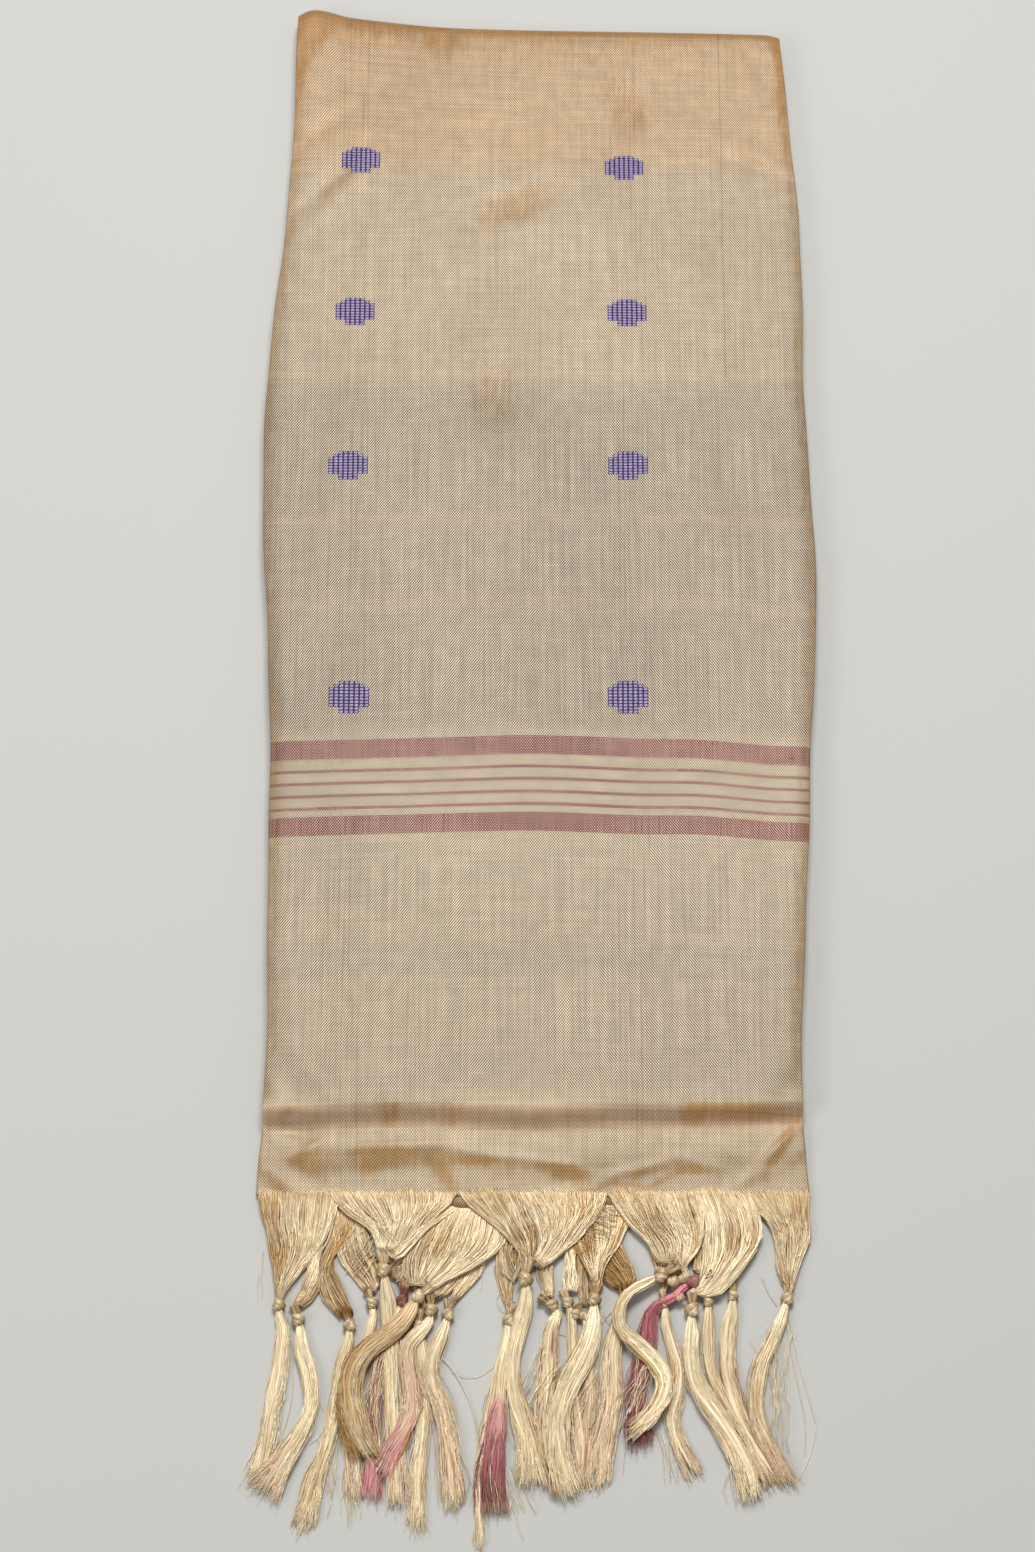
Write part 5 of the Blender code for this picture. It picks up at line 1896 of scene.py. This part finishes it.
def wisps(chance, into):
    """Loose curling yarns spread over a patch of the fringe."""
    shares = np.linspace(0, 1, WISP_POINTS)
    for across, drop, width, length, turn, count, height, tone, curl in WISPS:
        angle = math.radians(turn)
        own_turn = chance.normal(0, WISP_TURNS, count)[:, None]
        own_length = length * chance.uniform(*WISP_LENGTHS, count)[:, None]
        start = (length - own_length) * (chance.uniform(0, 1, count)[:, None] - 0.5)
        run = start + own_length * (shares - 0.5)[None, :]
        off = chance.uniform(-0.5, 0.5, count)[:, None] * width + own_turn * run
        off = off + waviness(chance, count, shares, curl * 0.35)
        off = off + curl * np.sin(run * 0.55 + off * 0.28 + across)
        lines = np.zeros((count, len(shares), 3))
        lines[:, :, 0] = across + run * math.sin(angle) + off * math.cos(angle)
        lines[:, :, 1] = drop + run * math.cos(angle) - off * math.sin(angle)
        lines[:, :, 2] = height + chance.uniform(-1, 1, count)[:, None]
        lines[:, :, 2] += waviness(chance, count, shares, 0.5)
        above_floor(lines)
        radius = YARN_RADIUS * FINE_SHARE * chance.uniform(0.8, 1.1, count)
        into.add(lines, radius, tone_marks(chance, tone, lines))


def strays(chance, into):
    """Single yarns that have come away from the rest."""
    shares = np.linspace(0, 1, STRAY_POINTS)
    for height, places in STRAYS:
        route = np.array([[(across, drop, height) for across, drop in places]])
        lines = flowing(route, shares)
        lines[:, :, 2] = np.interp(shares, (0, 0.2, 0.8, 1), (height, height * 0.6, 0.5, 0.4))
        into.add(lines, np.array([YARN_RADIUS * STRAY_SHARE]), tone_marks(chance, STRAY_TONE, lines))


def frayed_edge(chance, into):
    """Short ends of the last picks, along the pallu's cut edge."""
    left, right = OUTLINE[1][1] + FRAYED_INSET, OUTLINE[1][2] - FRAYED_INSET
    across = np.linspace(left, right, FRAYED) + chance.normal(0, 0.2, FRAYED)
    lean = chance.normal(0, 0.9, FRAYED)
    reach = chance.uniform(0.2, 1.0, FRAYED)
    route = np.zeros((FRAYED, 3, 3))
    for i, (drop, height) in enumerate(FRAYED_PLACES):
        route[:, i, 0] = across + lean * i * 0.5
        route[:, i, 1] = drop * (reach if i == 2 else 1) + chance.normal(0, 0.3, FRAYED)
        route[:, i, 2] = HEM_HEIGHT + height
    for row in route.reshape(-1, 3):
        row[2] += relief(row[0], max(-row[1], 0.0)) * rising(row[1], 3, 0)
    clear = np.min([np.abs(across - gap) for gap in PLY_GAPS], axis=0) > FRAYED_CLEAR
    lines = flowing(route[clear], np.linspace(0, 1, 5))
    marks = tone_marks(chance, FRAYED_TONE, lines, FRAYED_UNLIKE)
    into.add(lines, np.full(len(lines), YARN_RADIUS * FINE_SHARE), marks)


def fringe():
    """All the yarns beyond the cloth, as a few joined meshes from left to right."""
    chance = np.random.default_rng(SEED)
    made = []
    for name, knots in FRINGE_PARTS.items():
        yarns = Yarns()
        for row in LOCKS:
            if row[0] in knots:
                gathered(chance, row, yarns)
        for knot in knots:
            knotted(chance, knot, yarns)
        for row in LOOSE_ENDS:
            if row[0] in knots:
                loose_ends(chance, row, yarns)
        if name == "fringe_right":
            strays(chance, yarns)
            wisps(chance, yarns)
            frayed_edge(chance, yarns)
        piece = placed(name, yarns.mesh(name), FRINGE_YARN)
        made.append((piece, [f"tassel_{knot:02d}" for knot in knots if knot <= TASSELS]))
    return made


# The pieces


pallu = pallu_cloth()
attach(pallu, "root")
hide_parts("top_stretch")

lengths = folded_lengths()
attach(lengths, "root")
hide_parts("folded_layers", "under_stretch")

plies = under_plies()
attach(plies, "root")
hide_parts("inner_plies")

dots = woven_dots()
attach(dots, "root")

for piece, nodes in fringe():
    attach(piece, "root")
    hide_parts(*nodes)


# The room


def floor():
    """A wide pale floor, just under the saree."""
    built = bmesh.new()
    bmesh.ops.create_grid(built, x_segments=1, y_segments=1, size=FLOOR_REACH)
    bmesh.ops.translate(built, vec=Vector((0, 0, -FLOOR_GAP)), verts=built.verts)
    finished("floor", built, PLAIN_FLOOR)


def aimed(name, data, place, ahead):
    """Puts a light or a camera at a place, looking ahead."""
    made = bpy.data.objects.new(name, data)
    made.location = place
    made.rotation_mode = "QUATERNION"
    made.rotation_quaternion = ahead.to_track_quat("-Z", "Y")
    bpy.context.scene.collection.objects.link(made)
    return made


def soft_lights():
    """Large rectangular lights, each turned towards a point of the saree."""
    for name, place, target, size, power, colour in LIGHTS:
        light = bpy.data.lights.new(name, "AREA")
        light.shape = "RECTANGLE"
        light.size, light.size_y = size
        light.energy = power
        light.color = colour
        aimed(name, light, place, Vector(target) - Vector(place))


def surround():
    """An even, slightly warm light from all sides."""
    world = bpy.data.worlds.new("surround")
    bpy.context.scene.world = world
    world.use_nodes = True
    background = world.node_tree.nodes["Background"]
    background.inputs["Color"].default_value = (1.0, 0.98, 0.95, 1.0)
    background.inputs["Strength"].default_value = 0.30
    bpy.context.scene.view_settings.view_transform = "Standard"


def camera():
    """The photograph's view: from above the tassels, tilted well down."""
    elevation = math.radians(CAMERA_ELEVATION)
    back = Vector((0, -math.cos(elevation), math.sin(elevation)))
    lens = bpy.data.cameras.new("camera")
    lens.sensor_width = 36
    lens.lens = lens.sensor_width * FOCAL_PIXELS / PHOTO_HEIGHT
    lens.clip_start = 0.05
    place = Vector(CAMERA_TARGET) + back * CAMERA_DISTANCE
    bpy.context.scene.camera = aimed("camera", lens, place, -back)


floor()
soft_lights()
surround()
camera()
